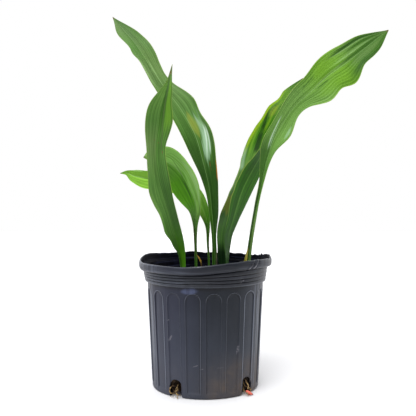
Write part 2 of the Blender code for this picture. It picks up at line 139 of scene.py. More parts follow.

# Rubbed marks, and painted highlights on the rim's top edge and crease crests: angle, height, size across,
# length, lean and strength
SCUFFS_AND_GLINTS = (
    (-39.0, 139.0, 1.8, 3.0, 60.0, 0.5),
    (-37.0, 107.0, 2.6, 8.0, 35.0, 0.5),
    (34.0, 86.0, 2.8, 10.0, 8.0, 0.5),
    (-10.0, 60.0, 1.0, 7.0, 70.0, 0.5),
    (-4.0, 55.0, 0.8, 6.0, 75.0, 0.5),
    (15.0, 57.0, 0.8, 7.0, 85.0, 0.4),
    # painted highlight on the front of the rim's top edge
    (-7.0, 241.0, 3.0, 12.0, 90.0, 0.6),
    # painted highlights on the crests of two rim creases
    (40.5, 234.5, 1.2, 11.0, 43.0, 1.8),
    (45.5, 235.0, 1.2, 11.0, 41.0, 1.8),
    (35.5, 211.0, 1.4, 7.0, 60.0, 0.8),
    # painted highlights along the back of the rim's top edge
    (-132.0, 245.0, 2.5, 26.0, 90.0, 0.5),
    (-160.0, 243.5, 2.5, 22.0, 90.0, 0.4),
    (128.0, 96.0, 2.0, 10.0, 20.0, 0.5),
    (-120.0, 66.0, 2.4, 6.0, 75.0, 0.5),
    (170.0, 150.0, 1.6, 9.0, 40.0, 0.5),
)
# Soft sheen under the collar: angle, height, size across, length and lean
SHEEN = (-15.0, 194.5, 7.0, 19.0, 86.0)

# ---------------------------------------------------------------- sizes of the soil

SOIL_EDGE_Z = 192.0
SOIL_CROWN_Z = 196.0
SOIL_FLOOR_Z = 5.3
SOIL_SIDES = 240
# Radii of the even top, of its rounded shoulder, and distance from the pot's outer face
SOIL_TOP_RADIUS = 104.0
SOIL_SHOULDER_RADIUS = 105.4
SOIL_INSET = 4.3
# Radius at which distances round the soil's side are measured
FOOT_RADIUS = 97.0
# Room that crumbs and chips leave round each stalk
STALK_ROOM = 8.0
# Pocket in the soil behind each rooted drain hole
POCKET_RADIUS = 12.0
POCKET_Z = 15.0
POCKET_DEPTH = 17.0

# ---------------------------------------------------------------- sizes of the plant

# Height at which every stalk and bract starts, inside the soil
FOOT = 184.48

# Leaf blades: rows of x, y, z of the midrib, half width, roll and fold.
# Roll 0 turns the upper side to the front (-Y); fold closes the two halves.
LEAF_TALL = (
    (18, 10, FOOT, 3.6, 0, 45), (18, 12, 235, 3.6, 0, 45), (16, 18, 290, 4.2, 0, 42),
    (12, 22, 334, 12, 0, 38), (7, 26, 378, 20, 0, 25), (-4, 32, 424, 24.5, 5, 20),
    (-19, 40, 476, 28, 10, 18), (-47, 50, 528, 28.5, 20, 15), (-78, 58, 570, 25, 30, 12),
    (-109, 68, 616, 23.5, 38, 12), (-129, 76, 648, 21.5, 36, 10), (-148, 86, 674, 19.5, 28, 8),
    (-166, 94, 695, 13.5, 15, 5), (-189, 104, 723, 0.4, 0, 0),
)
LEAF_FRONT = (
    (-44, -22, FOOT, 6.5, 0, 50), (-45, -25, 237, 8.5, 0, 40), (-55, -34, 282, 14, 0, 35),
    (-65, -42, 320, 17, 0, 25), (-76, -52, 358, 20, 0, 20), (-86, -62, 400, 21.5, 10, 20),
    (-89, -70, 446, 21.5, 10, 22), (-85, -76, 482, 25, 5, 24), (-80, -80, 513, 25.5, 5, 26),
    (-72, -80, 543, 17, 5, 30), (-66, -76, 567, 8, 0, 30), (-59, -68, 598, 0.4, 0, 0),
)
LEAF_ARCHED = (
    (-18, 15, FOOT, 2, 0, 30), (-18, 15, 232, 2, 0, 30), (-19, 14, 275, 2.3, 0, 30),
    (-19, 12, 307, 4.5, -5, 35), (-18, 10, 339, 15, -15, 32), (-23, 9, 358, 24, -22, 28),
    (-33, 8, 380, 31, -25, 25), (-46, 6, 402, 33, -25, 22), (-62, 3, 418, 31, -20, 20),
    (-83, -2, 430, 25, -12, 18), (-102, -6, 436, 14, -5, 12), (-117, -8, 433, 0.4, 0, 0),
)
LEAF_LOW = (
    (7, 30, FOOT, 2, 0, 30), (7, 30, 231, 2, 0, 30), (5, 31, 268, 2.5, 0, 30),
    (4, 33, 305, 5.5, 0, 30), (-3, 36, 330, 10.5, 0, 25), (-18, 40, 357, 17, 0, 20),
    (-44, 45, 377, 22, 0, 15), (-82, 50, 390, 23, 0, 12), (-116, 55, 393, 17.5, 0, 10),
    (-142, 58, 399, 12.5, 0, 8), (-157, 60, 405, 4.5, 0, 5), (-170, 62, 404, 0.4, 0, 0),
)
LEAF_FOLDED = (
    (39, 5, FOOT, 7, -60, 55), (41, 5, 205, 10, -55, 56), (43, 5, 234, 20, -50, 57),
    (46, 5, 262, 23, -60, 60), (50, 6, 284, 27, -68, 58), (60, 8, 309, 34, -74, 58),
    (76, 11, 343, 40, -78, 62), (91, 15, 374, 43, -86, 64), (106, 20, 405, 46, -80, 62),
    (118, 26, 440, 46, -64, 56), (130, 34, 477, 43, -50, 50), (147, 42, 512, 36, -40, 45),
    (164, 50, 539, 28, -30, 35), (180, 56, 566, 17, -20, 20), (194, 62, 593, 0.4, 0, 0),
)
LEAF_BROAD = (
    (78, -8, FOOT, 5, 0, 40), (81, -10, 235, 5, 0, 40), (86, -12, 277, 4.4, 0, 40),
    (91, -14, 311, 4.2, 0, 40), (96.5, -16, 344, 4.2, 0, 40), (103.5, -18, 376, 5, -10, 35),
    (114, -22, 424, 15, -15, 30), (128, -28, 466, 24, -10, 25), (143, -32, 495, 26, -5, 20),
    (165, -38, 526, 27, 0, 15), (193, -42, 552, 32, 0, 12), (224, -44, 580, 36, 0, 10),
    (261, -44, 607, 34, 0, 8), (293, -40, 632, 25, 0, 6), (318, -36, 652, 12, 0, 4),
    (338, -32, 667, 0.4, 0, 0),
)

# Each leaf: node it stands for, rows, margin wave (height, count, phase), stalk
# thickness, pleats on each half, margin ruffle and seed
LEAVES = {
    "tall_leaf": ("leaf_tall", LEAF_TALL, (2.5, 5.0, 0.6), 3.4, 7, 0.7, 11),
    "front_leaf": ("leaf_front", LEAF_FRONT, (2.0, 4.0, 0.2), 3.4, 6, 0.5, 12),
    "arched_leaf": ("leaf_arched", LEAF_ARCHED, (1.0, 3.0, 0.0), 2.4, 7, 0.3, 13),
    "low_leaf": ("leaf_low", LEAF_LOW, (0.8, 3.0, 0.0), 2.4, 5, 0.2, 14),
    "folded_leaf": ("leaf_folded", LEAF_FOLDED, (1.5, 4.0, 1.0), 3.0, 7, 0.5, 15),
    "broad_leaf": ("leaf_broad", LEAF_BROAD, (3.0, 6.0, 0.0), 4.0, 7, 0.9, 16),
}

# Swells and pinches of each margin: (place along, share of the half width), for the
# left margin and for the right margin
MARGINS = {
    "tall_leaf": (
        ((0.15, 1.5), (0.2, 0.9), (0.25, 0.55), (0.35, 0.55), (0.45, 0.9), (0.55, 1.0), (0.67, 0.9),
         (0.75, 0.95), (0.8, 0.9), (0.83, 1.05), (0.86, 0.85), (0.95, 1.15), (1.0, 0.8)),
        ((0.15, 1.6), (0.2, 1.7), (0.3, 1.05), (0.4, 1.1), (0.5, 1.2), (0.55, 1.05), (0.6, 1.2), (0.7, 0.8),
         (0.85, 1.25), (0.9, 1.2), (1.0, 0.7))),
    "front_leaf": (
        ((0.1, 0.4), (0.17, 0.4), (0.2, 0.75), (0.23, 0.85), (0.27, 1.2), (0.3, 1.1), (0.35, 1.0),
         (0.4, 1.1), (0.47, 1.15), (0.52, 0.95), (0.6, 0.85), (0.75, 1.0), (0.85, 0.9), (0.93, 0.3)),
        ((0.1, 1.2), (0.2, 1.3), (0.3, 1.0), (0.4, 0.9), (0.5, 0.95), (0.65, 0.85), (0.75, 1.05),
         (0.85, 0.85), (0.92, 1.0), (1.0, 0.7))),
    "arched_leaf": (
        ((0.35, 1.3), (0.5, 1.3), (0.6, 1.1), (0.9, 1.0)),
        ((0.35, 1.3), (0.4, 1.3), (0.5, 0.9), (0.65, 1.0), (0.75, 1.0), (0.9, 1.2), (1.0, 1.0))),
    "low_leaf": (
        ((0.3, 0.9), (0.4, 1.15), (0.5, 1.0), (0.8, 1.0), (0.85, 1.15), (0.9, 1.0)),
        ((0.3, 0.9), (0.4, 1.1), (0.5, 1.0), (0.85, 0.95), (0.95, 1.05))),
    "folded_leaf": (
        ((0.1, 1.0), (0.3, 1.2), (0.4, 1.05), (0.6, 1.1), (0.75, 0.9), (0.8, 1.0), (0.87, 0.9), (0.9, 1.05)),
        ((0.15, 1.15), (0.22, 1.2), (0.27, 1.05), (0.37, 1.25), (0.47, 1.05), (0.57, 0.95), (0.7, 1.0))),
    "broad_leaf": (
        ((0.3, 1.0), (0.37, 0.8), (0.45, 0.95), (0.55, 0.7), (0.65, 0.9), (0.7, 0.85), (0.77, 1.0),
         (0.85, 1.0), (0.93, 1.1), (1.0, 0.8)),
        ((0.3, 1.0), (0.37, 0.65), (0.45, 0.6), (0.52, 1.05), (0.6, 0.65), (0.65, 0.7), (0.7, 1.1),
         (0.77, 0.95), (0.81, 1.15), (0.87, 0.75), (0.91, 0.9), (0.95, 1.15), (1.0, 1.1))),
}

# Young shoot and dry bracts: node, rows and thickness
BRACTS = {
    "young_shoot": ("shoot_young", (
        (-6, 2, FOOT, 2.4, 0, 40), (-7, 1, 215, 2.4, 0, 40), (-8, 0, 238, 0.5, 0, 20)), 2.6),
    "amber_bract": ("bract_amber", (
        (-11, -4, FOOT, 1.0, 0, 30), (-8, -5, 215, 1.1, 0, 30), (-8, -6, 232, 1.4, 0, 20),
        (-12, -7, 243, 1.2, 0, 10), (-17, -7, 249, 0.4, 0, 0)), 0.9),
    "grey_bract": ("bract_grey", (
        (20, -4, FOOT, 2.0, 20, 25), (21, -5, 230, 1.8, 20, 25), (21, -6, 258, 0.4, 0, 0)), 1.0),
    "straw_bract": ("bract_straw", (
        (70, -16, FOOT, 3.0, 30, 35), (73, -17, 225, 3.2, 30, 35), (77, -18, 246, 2.6, 20, 20),
        (80, -19, 262, 0.5, 20, 10)), 1.2),
}

# Root loops out of two drain holes: node, angle, and points as distance out from the
# inner wall, across the hole and up
ROOT_LOOPS = {
    "left_roots": ("root_left", -32.0, (
        (-17.4, -4, 17), (-9, -5, 16), (-2, -10, 18), (4, -11.5, 14), (5, -11, 8), (1, -7, 5),
        (-5, -2, 7), (-5, 3, 12), (1, 4, 15), (6, 3, 10), (6, 7, 6), (8, 10, 8), (9, 8, 4), (12, 10, 1.5))),
    "right_roots": ("root_right", 48.0, (
        (-17.4, 3, 18), (-9, 2, 22), (-2, 0, 27), (4, -1, 22), (6, 1, 15), (7, -2, 11),
        (5, 4, 12), (6, 8, 9), (9, 3, 5), (10, -5, 6), (12, -9, 3), (15, -4, 2))),
}

# Lowest height of any root above the ground, and seed of the first group's thin roots
ROOT_CLEARANCE = 0.25
ROOT_SEED = 31

# Red bud among the right roots, as points given the same way
RED_BUD = ((5, -4.5, 8), (8, -3.5, 6.3), (11, -2, 4.4), (14, 0.2, 2.8), (17, 2.2, 1.6))


def tint(code):
    """Linear colour of a web colour code."""
    parts = [int(code[i:i + 2], 16) / 255 for i in (1, 3, 5)]
    return tuple(c / 12.92 if c <= 0.04045 else ((c + 0.055) / 1.055) ** 2.4 for c in parts)


# ---------------------------------------------------------------- settings

def length(name, description, default, low=0.0):
    """A length a user may change, in metres."""
    return FloatProperty(name=name, description=description, default=default, min=low,
                         unit="LENGTH", precision=4)


def colour(name, description, code):
    """A colour a user may change."""
    return FloatVectorProperty(name=name, description=description, default=tint(code),
                               subtype="COLOR", size=3, min=0.0, max=1.0)


class PotSettings(bpy.types.PropertyGroup):
    """Sizes and colours of the nursery pot."""

    flutes: IntProperty(name="Flutes", description="Arched panels round the body", default=18, min=6)
    flute_depth: length("Flute depth", "How far a panel lies back", 1.8 * MM)
    rim_warp: length("Rim warp", "How far the rim rises on one side", 3.6 * MM)
    hole_width: length("Hole width", "Width of a drain hole", 26.0 * MM)
    plastic: colour("Plastic", "Body colour", "#151A22")
    # painted light: lighter purple-blue body colour for the lit left side
    lit_side_plastic: colour("Lit side plastic", "Body colour with painted light on the lit left side", "#1E2032")
    # dusty grey, also used for the painted sheen at the sides
    dust_and_sheen_grey: colour("Bloom", "Dusty grey on the plastic, and painted sheen at its sides", "#4E5462")
    dirt: colour("Dirt", "Splashed soil near the foot", "#5A4E44")
    # colour of the rubbed marks and of the painted highlights on the rim
    scuff_and_glint: colour("Scuff and glint", "Pale rubbed marks and painted glints", "#8A868E")
    # colour of the painted highlight on the beaded edges and collar crests
    edge_light: colour("Edge highlight", "Painted highlight on beaded edges", "#808694")


class SoilSettings(bpy.types.PropertyGroup):
    """Grain and colours of the potting mix."""

    crumbs: IntProperty(name="Crumbs", description="Loose crumbs on top", default=900, min=0)
    chips: IntProperty(name="Bark chips", description="Flat pieces of bark", default=170, min=0)
    crumb_size: length("Crumb size", "Mean radius of a crumb", 1.5 * MM)
    chip_size: length("Chip size", "Mean length of a bark chip", 8.0 * MM)
    damp: colour("Damp soil", "Dark soil", "#1B1410")
    dry: colour("Dry soil", "Pale crumbs", "#4C3B2C")
    bark: colour("Bark", "Bark chips", "#6B4A31")


class LeafSettings(bpy.types.PropertyGroup):
    """Thickness, ribs, mesh and veins shared by the leaves."""

    blade: length("Blade", "Thickness of the blade", 0.7 * MM)
    rib: length("Midrib", "Extra thickness at the midrib", 0.9 * MM)
    pleat: length("Pleat depth", "Height of the long pleats", 0.22 * MM)
    row_step: length("Row step", "Distance between rows of the mesh", 3.0 * MM, 1.0 * MM)
    columns: IntProperty(name="Columns", description="Mesh columns on each half", default=34, min=8)
    veins: FloatProperty(name="Veins", description="Fine veins on each half", default=21.0, min=4.0)


class RootSettings(bpy.types.PropertyGroup):
    """Roots that hang out of the drain holes."""

    radius: length("Root radius", "Thickness of a main root", 1.15 * MM)
    fine_radius: length("Fine root radius", "Thickness of a fine root", 0.55 * MM)
    fine_roots: IntProperty(name="Fine roots", description="Fine roots in each hole", default=6, min=0)
    tan: colour("Tan", "Dry root skin", "#B59A63")
    brown: colour("Brown", "Stained root skin", "#5A4224")


class StageSettings(bpy.types.PropertyGroup):
    """Camera, floor and light."""

    distance: length("Distance", "Camera distance from the pot's axis", 1.300)
    height: length("Height", "Camera height above the floor", 0.385)
    aside: length("Aside", "Where the camera looks, to the right of the axis", 5.1 * MM)
    pitch: FloatProperty(name="Pitch", description="How far the camera looks down",
                         default=math.radians(2.1), subtype="ANGLE")
    lens: FloatProperty(name="Lens", description="Focal length", default=59.1, min=10.0, unit="CAMERA")
    front: FloatProperty(name="Front", description="Light from the surround behind the camera",
                         default=0.06, min=0.0)
    back: FloatProperty(name="Back", description="Light from the surround behind the plant",
                        default=1.7, min=0.0)
    top: FloatProperty(name="Top light", description="Strength of the soft light overhead",
                       default=2.9, min=0.0)
    floor: colour("Floor", "Pale floor", "#E4E4E6")


# ---------------------------------------------------------------- finishes

class Value:
    """One output of a node; arithmetic on it adds Math nodes."""

    def __init__(self, nodes, socket):
        self.nodes = nodes
        self.socket = socket

    def __add__(self, other):
        return self.nodes.math("ADD", self, other)

    __radd__ = __add__

    def __sub__(self, other):
        return self.nodes.math("SUBTRACT", self, other)

    def __rsub__(self, other):
        return self.nodes.math("SUBTRACT", other, self)

    def __mul__(self, other):
        return self.nodes.math("MULTIPLY", self, other)

    __rmul__ = __mul__

    def __truediv__(self, other):
        return self.nodes.math("DIVIDE", self, other)

    def __rtruediv__(self, other):
        return self.nodes.math("DIVIDE", other, self)

    def __abs__(self):
        return self.nodes.math("ABSOLUTE", self)

    def __neg__(self):
        return self * -1.0


class Nodes:
    """The nodes of a material or of the world, with short ways to add more."""

    def __init__(self, owner):
        owner.use_nodes = True
        self.tree = owner.node_tree

    def node(self, kind, settings, sockets, output=0):
        """Any node: its type, its settings, then values or links for its sockets."""
        made = self.tree.nodes.new(kind)
        for key, value in settings.items():
            if key == "stops":
                self.set_stops(made.color_ramp, value)
            else:
                setattr(made, key, value)
        for key, value in sockets.items():
            self.plug(made.inputs[key], value)
        return Value(self, made.outputs[output])

    def set_stops(self, ramp, stops):
        """Stops of a colour ramp as (place, colour)."""
        while len(ramp.elements) < len(stops):
            ramp.elements.new(1.0)
        for element, (place, shade) in zip(ramp.elements, stops):
            element.position = place
            element.color = (*shade, 1.0)

    def plug(self, socket, value):
        """Link a Value, or set a plain number, vector or colour."""
        if isinstance(value, Value):
            self.tree.links.new(value.socket, socket)
        elif socket.type == "RGBA" and len(value) == 3:
            socket.default_value = (*value, 1.0)
        else:
            socket.default_value = value

    def math(self, operation, first, second=0.0):
        """One Math node on one or two numbers."""
        return self.node("ShaderNodeMath", {"operation": operation}, {0: first, 1: second})

    def ease(self, value, low, high):
        """0 below low, 1 above high, smooth between."""
        return self.node("ShaderNodeMapRange", {"interpolation_type": "SMOOTHSTEP"},
                         {"Value": value, "From Min": low, "From Max": high})

    def split(self, vector):
        """The three parts of a vector."""
        parts = self.node("ShaderNodeSeparateXYZ", {}, {0: vector}).socket.node
        return [Value(self, parts.outputs[i]) for i in range(3)]


class Finish(Nodes):
    """A material with one shader, and the patterns that finishes are made of."""

    def __init__(self, name, specular):
        self.material = bpy.data.materials.new(name)
        super().__init__(self.material)
        self.shader = self.tree.nodes["Principled BSDF"]
        self.shader.inputs["Specular IOR Level"].default_value = specular

    def mix(self, factor, first, second, blend="MIX"):
        """Colour between two colours."""
        return self.node("ShaderNodeMix", {"data_type": "RGBA", "blend_type": blend},
                         {0: factor, 6: first, 7: second}, 2)

    def darker(self, base, shade):
        """Colour multiplied by a darker one."""
        return self.mix(1.0, base, shade, "MULTIPLY")

    def attribute(self, name):
        """A number stored on the mesh."""
        return self.node("ShaderNodeAttribute", {"attribute_name": name}, {}, "Fac")

    def place(self):
        """Position on the piece, in metres."""
        return self.node("ShaderNodeTexCoord", {}, {}, "Object")

    def join(self, x, y, z):
        """Vector of three numbers."""
        return self.node("ShaderNodeCombineXYZ", {}, {0: x, 1: y, 2: z})

    def scaled(self, vector, factors):
        """Vector stretched by a factor on each axis."""
        return self.node("ShaderNodeVectorMath", {"operation": "MULTIPLY"}, {0: vector, 1: factors})

    def noise(self, vector, scale=1.0, detail=3.0, rough=0.55):
        """Soft noise from 0 to 1."""
        return self.node("ShaderNodeTexNoise", {}, {
            "Vector": vector, "Scale": scale, "Detail": detail, "Roughness": rough})

    def clods(self, vector, scale):
        """Distance to the middle of the nearest clod."""
        return self.node("ShaderNodeTexVoronoi", {}, {"Vector": vector, "Scale": scale})

    def bump(self, height, distance, strength):
        """Shading normal from a height."""
        return self.node("ShaderNodeBump", {}, {"Height": height, "Distance": distance, "Strength": strength})

    def show(self, base, rough, normal=None):
        """Join the pattern to the shader."""
        self.plug(self.shader.inputs["Base Color"], base)
        self.plug(self.shader.inputs["Roughness"], rough)
        if normal is not None:
            self.plug(self.shader.inputs["Normal"], normal)
        return self.material


# ---------------------------------------------------------------- mesh tools

def new_piece(name, verts, faces, material, sharp=40.0):
    """Mesh object from points in millimetres, with edges sharp above an angle in degrees."""
    mesh = bpy.data.meshes.new(name)
    mesh.from_pydata((np.asarray(verts) * MM).tolist(), [], faces)
    mesh.update()
    mesh.shade_smooth()
    mesh.set_sharp_from_angle(angle=math.radians(sharp))
    mesh.materials.append(material)
    piece = bpy.data.objects.new(name, mesh)
    bpy.context.scene.collection.objects.link(piece)
    return piece


def store(piece, **numbers):
    """Keep a number for each point, which the material reads."""
    for name, values in numbers.items():
        kept = piece.data.attributes.new(name, "FLOAT", "POINT")
        kept.data.foreach_set("value", np.asarray(values, np.float32).ravel())


def seat(piece, slot, *nodes):
    """The piece rides with the plant and stands for these nodes."""
    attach(piece, BODY)
    if nodes:
        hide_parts(*nodes)


def ease(x, low, high):
    """0 below low, 1 above high, smooth between."""
    t = np.clip((x - low) / (high - low), 0.0, 1.0)
    return t * t * (3 - 2 * t)


def units(v):
    """Rows of v at length one."""
    return v / np.linalg.norm(v, axis=-1, keepdims=True)


def arc_knots(points):
    """Distance along a line of points, from 0 to 1, and its length."""
    along = np.concatenate([[0.0], np.cumsum(np.linalg.norm(np.diff(points, axis=0), axis=1))])
    return along / along[-1], along[-1]


def hermite(knots, values, at):
    """Smooth curve through the values at uneven knots."""
    knots = np.asarray(knots, float)
    values = np.asarray(values, float)
    gaps = np.diff(knots)
    rise = np.diff(values, axis=0) / gaps[:, None]
    slope = np.zeros_like(values)
    slope[0] = rise[0]
    slope[-1] = rise[-1]
    both = (gaps[:-1] + gaps[1:])[:, None]
    slope[1:-1] = (rise[:-1] * gaps[1:, None] + rise[1:] * gaps[:-1, None]) / both
    at = np.asarray(at, float)
    i = np.clip(np.searchsorted(knots, at, side="right") - 1, 0, len(knots) - 2)
    span = gaps[i][:, None]
    t = ((at - knots[i]) / gaps[i])[:, None]
    start = (2 * t ** 3 - 3 * t ** 2 + 1) * values[i]
    leave = (t ** 3 - 2 * t ** 2 + t) * span * slope[i]
    end = (3 * t ** 2 - 2 * t ** 3) * values[i + 1]
    arrive = (t ** 3 - t ** 2) * span * slope[i + 1]
    return start + leave + end + arrive


def grid_faces(rows, columns, start, turned):
    """Four-sided faces over a grid of points, row by row; turned ones face the other way."""
    i, j = np.meshgrid(np.arange(rows - 1), np.arange(columns - 1), indexing="ij")
    a = (i * columns + j).ravel() + start
    quads = np.stack([a, a + 1, a + columns + 1, a + columns], 1)
    return (quads[:, ::-1] if turned else quads).tolist()


def ring_faces(rings, count):
    """Four-sided faces over rings that close on themselves."""
    faces = []
    for a in range(0, (rings - 1) * count, count):
        faces += [(a + k, a + (k + 1) % count, a + count + (k + 1) % count, a + count + k)
                  for k in range(count)]
    return faces


def cap_faces(rings, count):
    """Fans that close the first and the last ring on the two points after them."""
    hub = rings * count
    last = hub - count
    first_cap = [(hub, (k + 1) % count, k) for k in range(count)]
    return first_cap + [(hub + 1, last + k, last + (k + 1) % count) for k in range(count)]


def sweep(points, radii, sides):
    """Closed tube along a line of points: its points and faces."""
    tangent = units(np.gradient(points, axis=0))
    side = units(np.cross(tangent[0], (0.31, 0.52, 0.80)))
    rings = []
    for place, ahead, radius in zip(points, tangent, radii):
        side = units(side - ahead * np.dot(side, ahead))
        up = np.cross(ahead, side)
        turn = TWO_PI * np.arange(sides)[:, None] / sides
        rings.append(place + radius * (np.cos(turn) * side + np.sin(turn) * up))
    verts = np.concatenate(rings + [points[:1], points[-1:]])
    return verts, ring_faces(len(points), sides) + cap_faces(len(points), sides)


def gather(parts):
    """Join (points, faces) parts into one list of each, with the part's number per point."""
    verts, faces, numbers = [], [], []
    for number, (points, polygons) in enumerate(parts):
        start = sum(len(v) for v in verts)
        verts.append(points)
        numbers.append(np.full(len(points), number))
        faces += [tuple(start + k for k in f) for f in polygons]
    return np.concatenate(verts), faces, np.concatenate(numbers)


def around(angle):
    """Outward and sideways directions at an angle; 0 is the front and turns right."""
    a = math.radians(angle)
    return np.array([math.sin(a), -math.cos(a), 0.0]), np.array([math.cos(a), math.sin(a), 0.0])


# ---------------------------------------------------------------- pot

def body_radius(z):
    """Outer radius of the plain pot body."""
    (r0, z0), (r1, z1) = BODY_BASE, BODY_TOP
    return r0 + (r1 - r0) * (z - z0) / (z1 - z0)


def rounded(profile):
    """Profile with each corner rounded off by a short curve of three points."""
    points = [np.array(p[:2]) for p in profile]
    out = [points[0]]
    for k in range(1, len(points) - 1):
        here = points[k]
        back, ahead = points[k - 1] - here, points[k + 1] - here
        reach = min(profile[k][2], 0.45 * np.linalg.norm(back), 0.45 * np.linalg.norm(ahead))
        if reach == 0:
            out.append(here)
            continue
        start, end = here + units(back) * reach, here + units(ahead) * reach
        for t in (0.0, 0.5, 1.0):
            out.append((1 - t) ** 2 * start + 2 * t * (1 - t) * here + t * t * end)
    return out + [points[-1]]


def pot_rows():
    """Radius and height of each ring: underside, body, collar, rim, inside; and where the body is."""
    feet, sides, arches = np.linspace(5, 17, 9), np.linspace(24, 168, 19), np.linspace(171, 197.5, 28)
    heights = np.concatenate([feet, sides, arches])
    foot = rounded(FOOT_PROFILE)[1:-1]
    body = [np.array((body_radius(z), z)) for z in heights]
    upper = rounded(COLLAR_PROFILE)[:-1]
    rows = np.array(foot + body + upper)
    fluted = np.zeros(len(rows))
    fluted[len(foot):len(foot) + len(body)] = 1.0
    return rows, fluted


def pot_columns(flutes):
    """Angles round the pot, closest together at the edges of the flutes."""
    pitch = 360.0 / flutes
    half = np.array((2.2, 4.4, 5.7, 6.2, 6.5, 6.8, 7.1, 7.4, 7.7, 8.1, 9.0)) * pitch / 20.0
    inside = np.concatenate([-half[::-1], [0.0], half, [pitch / 2]])
    columns = [FLUTE_PHASE + pitch * k + inside for k in range(flutes)]
    creased = np.arange(*CREASED_STRETCH, 0.5)
    return np.unique(np.round(np.concatenate(columns + [creased]), 1))


def flute_recess(z, degrees, flutes, depth):
    """How far each point of the body lies back in its arched flute, and the painted highlight on its beaded
    edge, with painted shade in the hollows beside it.
    """
    pitch = 360.0 / flutes
    phi = (degrees - FLUTE_PHASE + pitch / 2) % pitch - pitch / 2
    number = ((degrees - FLUTE_PHASE + pitch / 2) // pitch).astype(int) % flutes
    x = np.radians(np.abs(phi)) * BODY_TOP[0]
    edge = np.where(z <= ARCH_SPRING_Z, x - ARCH_RADIUS, np.hypot(x, z - ARCH_SPRING_Z) - ARCH_RADIUS)
    sunk = 1.0 - ease(edge, -2.1, -0.6)
    bead = np.exp(-(edge / 0.7) ** 2)
    hollow = np.exp(-((edge - 1.4) / 0.6) ** 2) + np.exp(-((edge + 1.9) / 0.8) ** 2)
    table = np.array([FLUTE_EDGE_LIGHT.get(k, PLAIN_EDGE_LIGHT) for k in range(flutes)])
    left, right, top = np.moveaxis(table[number], -1, 0)
    arch = ease(z, ARCH_SPRING_Z - 8, ARCH_SPRING_Z + 6)
    edge_light = (1 - arch) * np.where(phi < 0, left, right) + arch * top
    # painted highlight on the bead, less the painted shade in the hollows beside it
    worn = bead * edge_light - hollow * (0.12 + 0.45 * np.minimum(edge_light, 1.0))
    foot = ease(z, *FLUTE_FOOT)
    return (depth * sunk - 0.5 * bead) * foot, worn * foot


def rim_shape(r, z, degrees):
    """Creases, frays and slow waves of the thin rim: change in radius and in height."""
    rim = ease(z, 222.0, 231.0)
    turn = np.radians(degrees)
    out = -0.35 * rim * (1 + np.sin(4 * turn + 0.9))
    up = 0.7 * rim * (np.sin(3 * turn + 1.1) + 0.6 * np.sin(7 * turn + 2.0))
    angles, rise = np.array(RIM_LIFT, float).T
    off = (degrees + 180) % 360 - 180
    up = up + ease(z, 214.0, 232.0) * hermite(angles, rise[:, None], off.ravel())[:, 0]
    lip = ease(z, 236.0, 241.0)
    ragged = lip * (0.5 - 0.5 * np.cos(np.radians(off + 60)))
    teeth = np.sin(23 * turn + 0.4) + 0.8 * np.sin(37 * turn + 1.9) + 0.5 * np.sin(61 * turn)
    up = up + 0.5 * ragged * teeth
    for foot, lean, width, height in RIM_CREASES:
        line = foot + lean * (z - BAND_Z)
        away = np.radians(degrees - line) * r / width
        out = out + rim * height * np.exp(-away ** 2)
    start, end = FRAYED_RIM
    frayed = ease(degrees % 360, start, start + 6) * (1 - ease(degrees % 360, end - 6, end)) * lip
    fray = np.sin(degrees * 2.9) * np.sin(degrees * 1.3 + 1.0) + 0.6 * np.sin(degrees * 5.3)
    return out - 0.9 * frayed * np.abs(fray), up + 1.1 * frayed * fray


def dented(r, z, degrees):
    """Depth of the dents at each point of the wall."""
    depth = 0.0
    for angle, height, size, deep in DENTS:
        off = (degrees - angle + 180) % 360 - 180
        away = np.hypot(np.radians(off) * r, z - height) / size
        depth = depth + deep * np.exp(-away ** 2)
    return ease(r, 90.0, 98.0) * depth


def collar_crests(rows):
    """Where the profile of the collar bends outward, which gets a painted highlight, and inward, which gets
    painted shade.
    """
    step = np.diff(rows, axis=0)
    reach = np.linalg.norm(step, axis=1)
    bend = np.zeros(len(rows))
    bend[1:-1] = (step[:-1, 0] * step[1:, 1] - step[:-1, 1] * step[1:, 0]) / (reach[:-1] * reach[1:])
    outside = (rows[:, 1] > BODY_TOP[1]) & (rows[:, 0] > 113.0)
    return 1.6 * np.clip(bend, -0.6, 0.6) * outside


def pot_points(s):
    """All rings of the pot, and the painted highlight and shade on its beaded edges and collar bends."""
    rows, fluted = pot_rows()
    degrees = pot_columns(s.flutes)[None, :]
    r, z = rows[:, :1], rows[:, 1:]
    recess, worn = flute_recess(z, degrees, s.flutes, s.flute_depth / MM)
    out, up = rim_shape(r, z, degrees)
    radius = r - fluted[:, None] * recess + out - dented(r, z, degrees)
    turn = np.radians(degrees)
    lift = s.rim_warp / MM * np.clip((z - COLLAR_Z) / (BAND_Z - COLLAR_Z), 0, 1) * np.sin(turn)
    grid = np.stack([radius * np.sin(turn), -radius * np.cos(turn), z + lift + up], -1)
    return grid, worn * fluted[:, None] + collar_crests(rows)[:, None]


def hole_cutter(width):
    """Four arched prisms through the wall at the foot of the pot."""
    half = width / 2
    spring = HOLE_TOP_Z - half
    arch = [(half * math.cos(t), spring + half * math.sin(t)) for t in np.linspace(0, math.pi, 21)]
    outline = [(-half, HOLE_BOTTOM_Z), (half, HOLE_BOTTOM_Z)] + arch
    n = len(outline)
    parts = []
    for angle in HOLE_ANGLES:
        out, side = around(angle)
        verts = [out * r + side * x + np.array([0, 0, z]) for r in HOLE_REACH for x, z in outline]
        faces = [tuple(range(n)), tuple(range(2 * n - 1, n - 1, -1))]
        faces += [(k, n + k, n + (k + 1) % n, (k + 1) % n) for k in range(n)]
        parts.append((np.array(verts), faces))
    verts, faces, _ = gather(parts)
    return new_piece("hole_cutter", verts, faces, bpy.data.materials.new("cutter"))


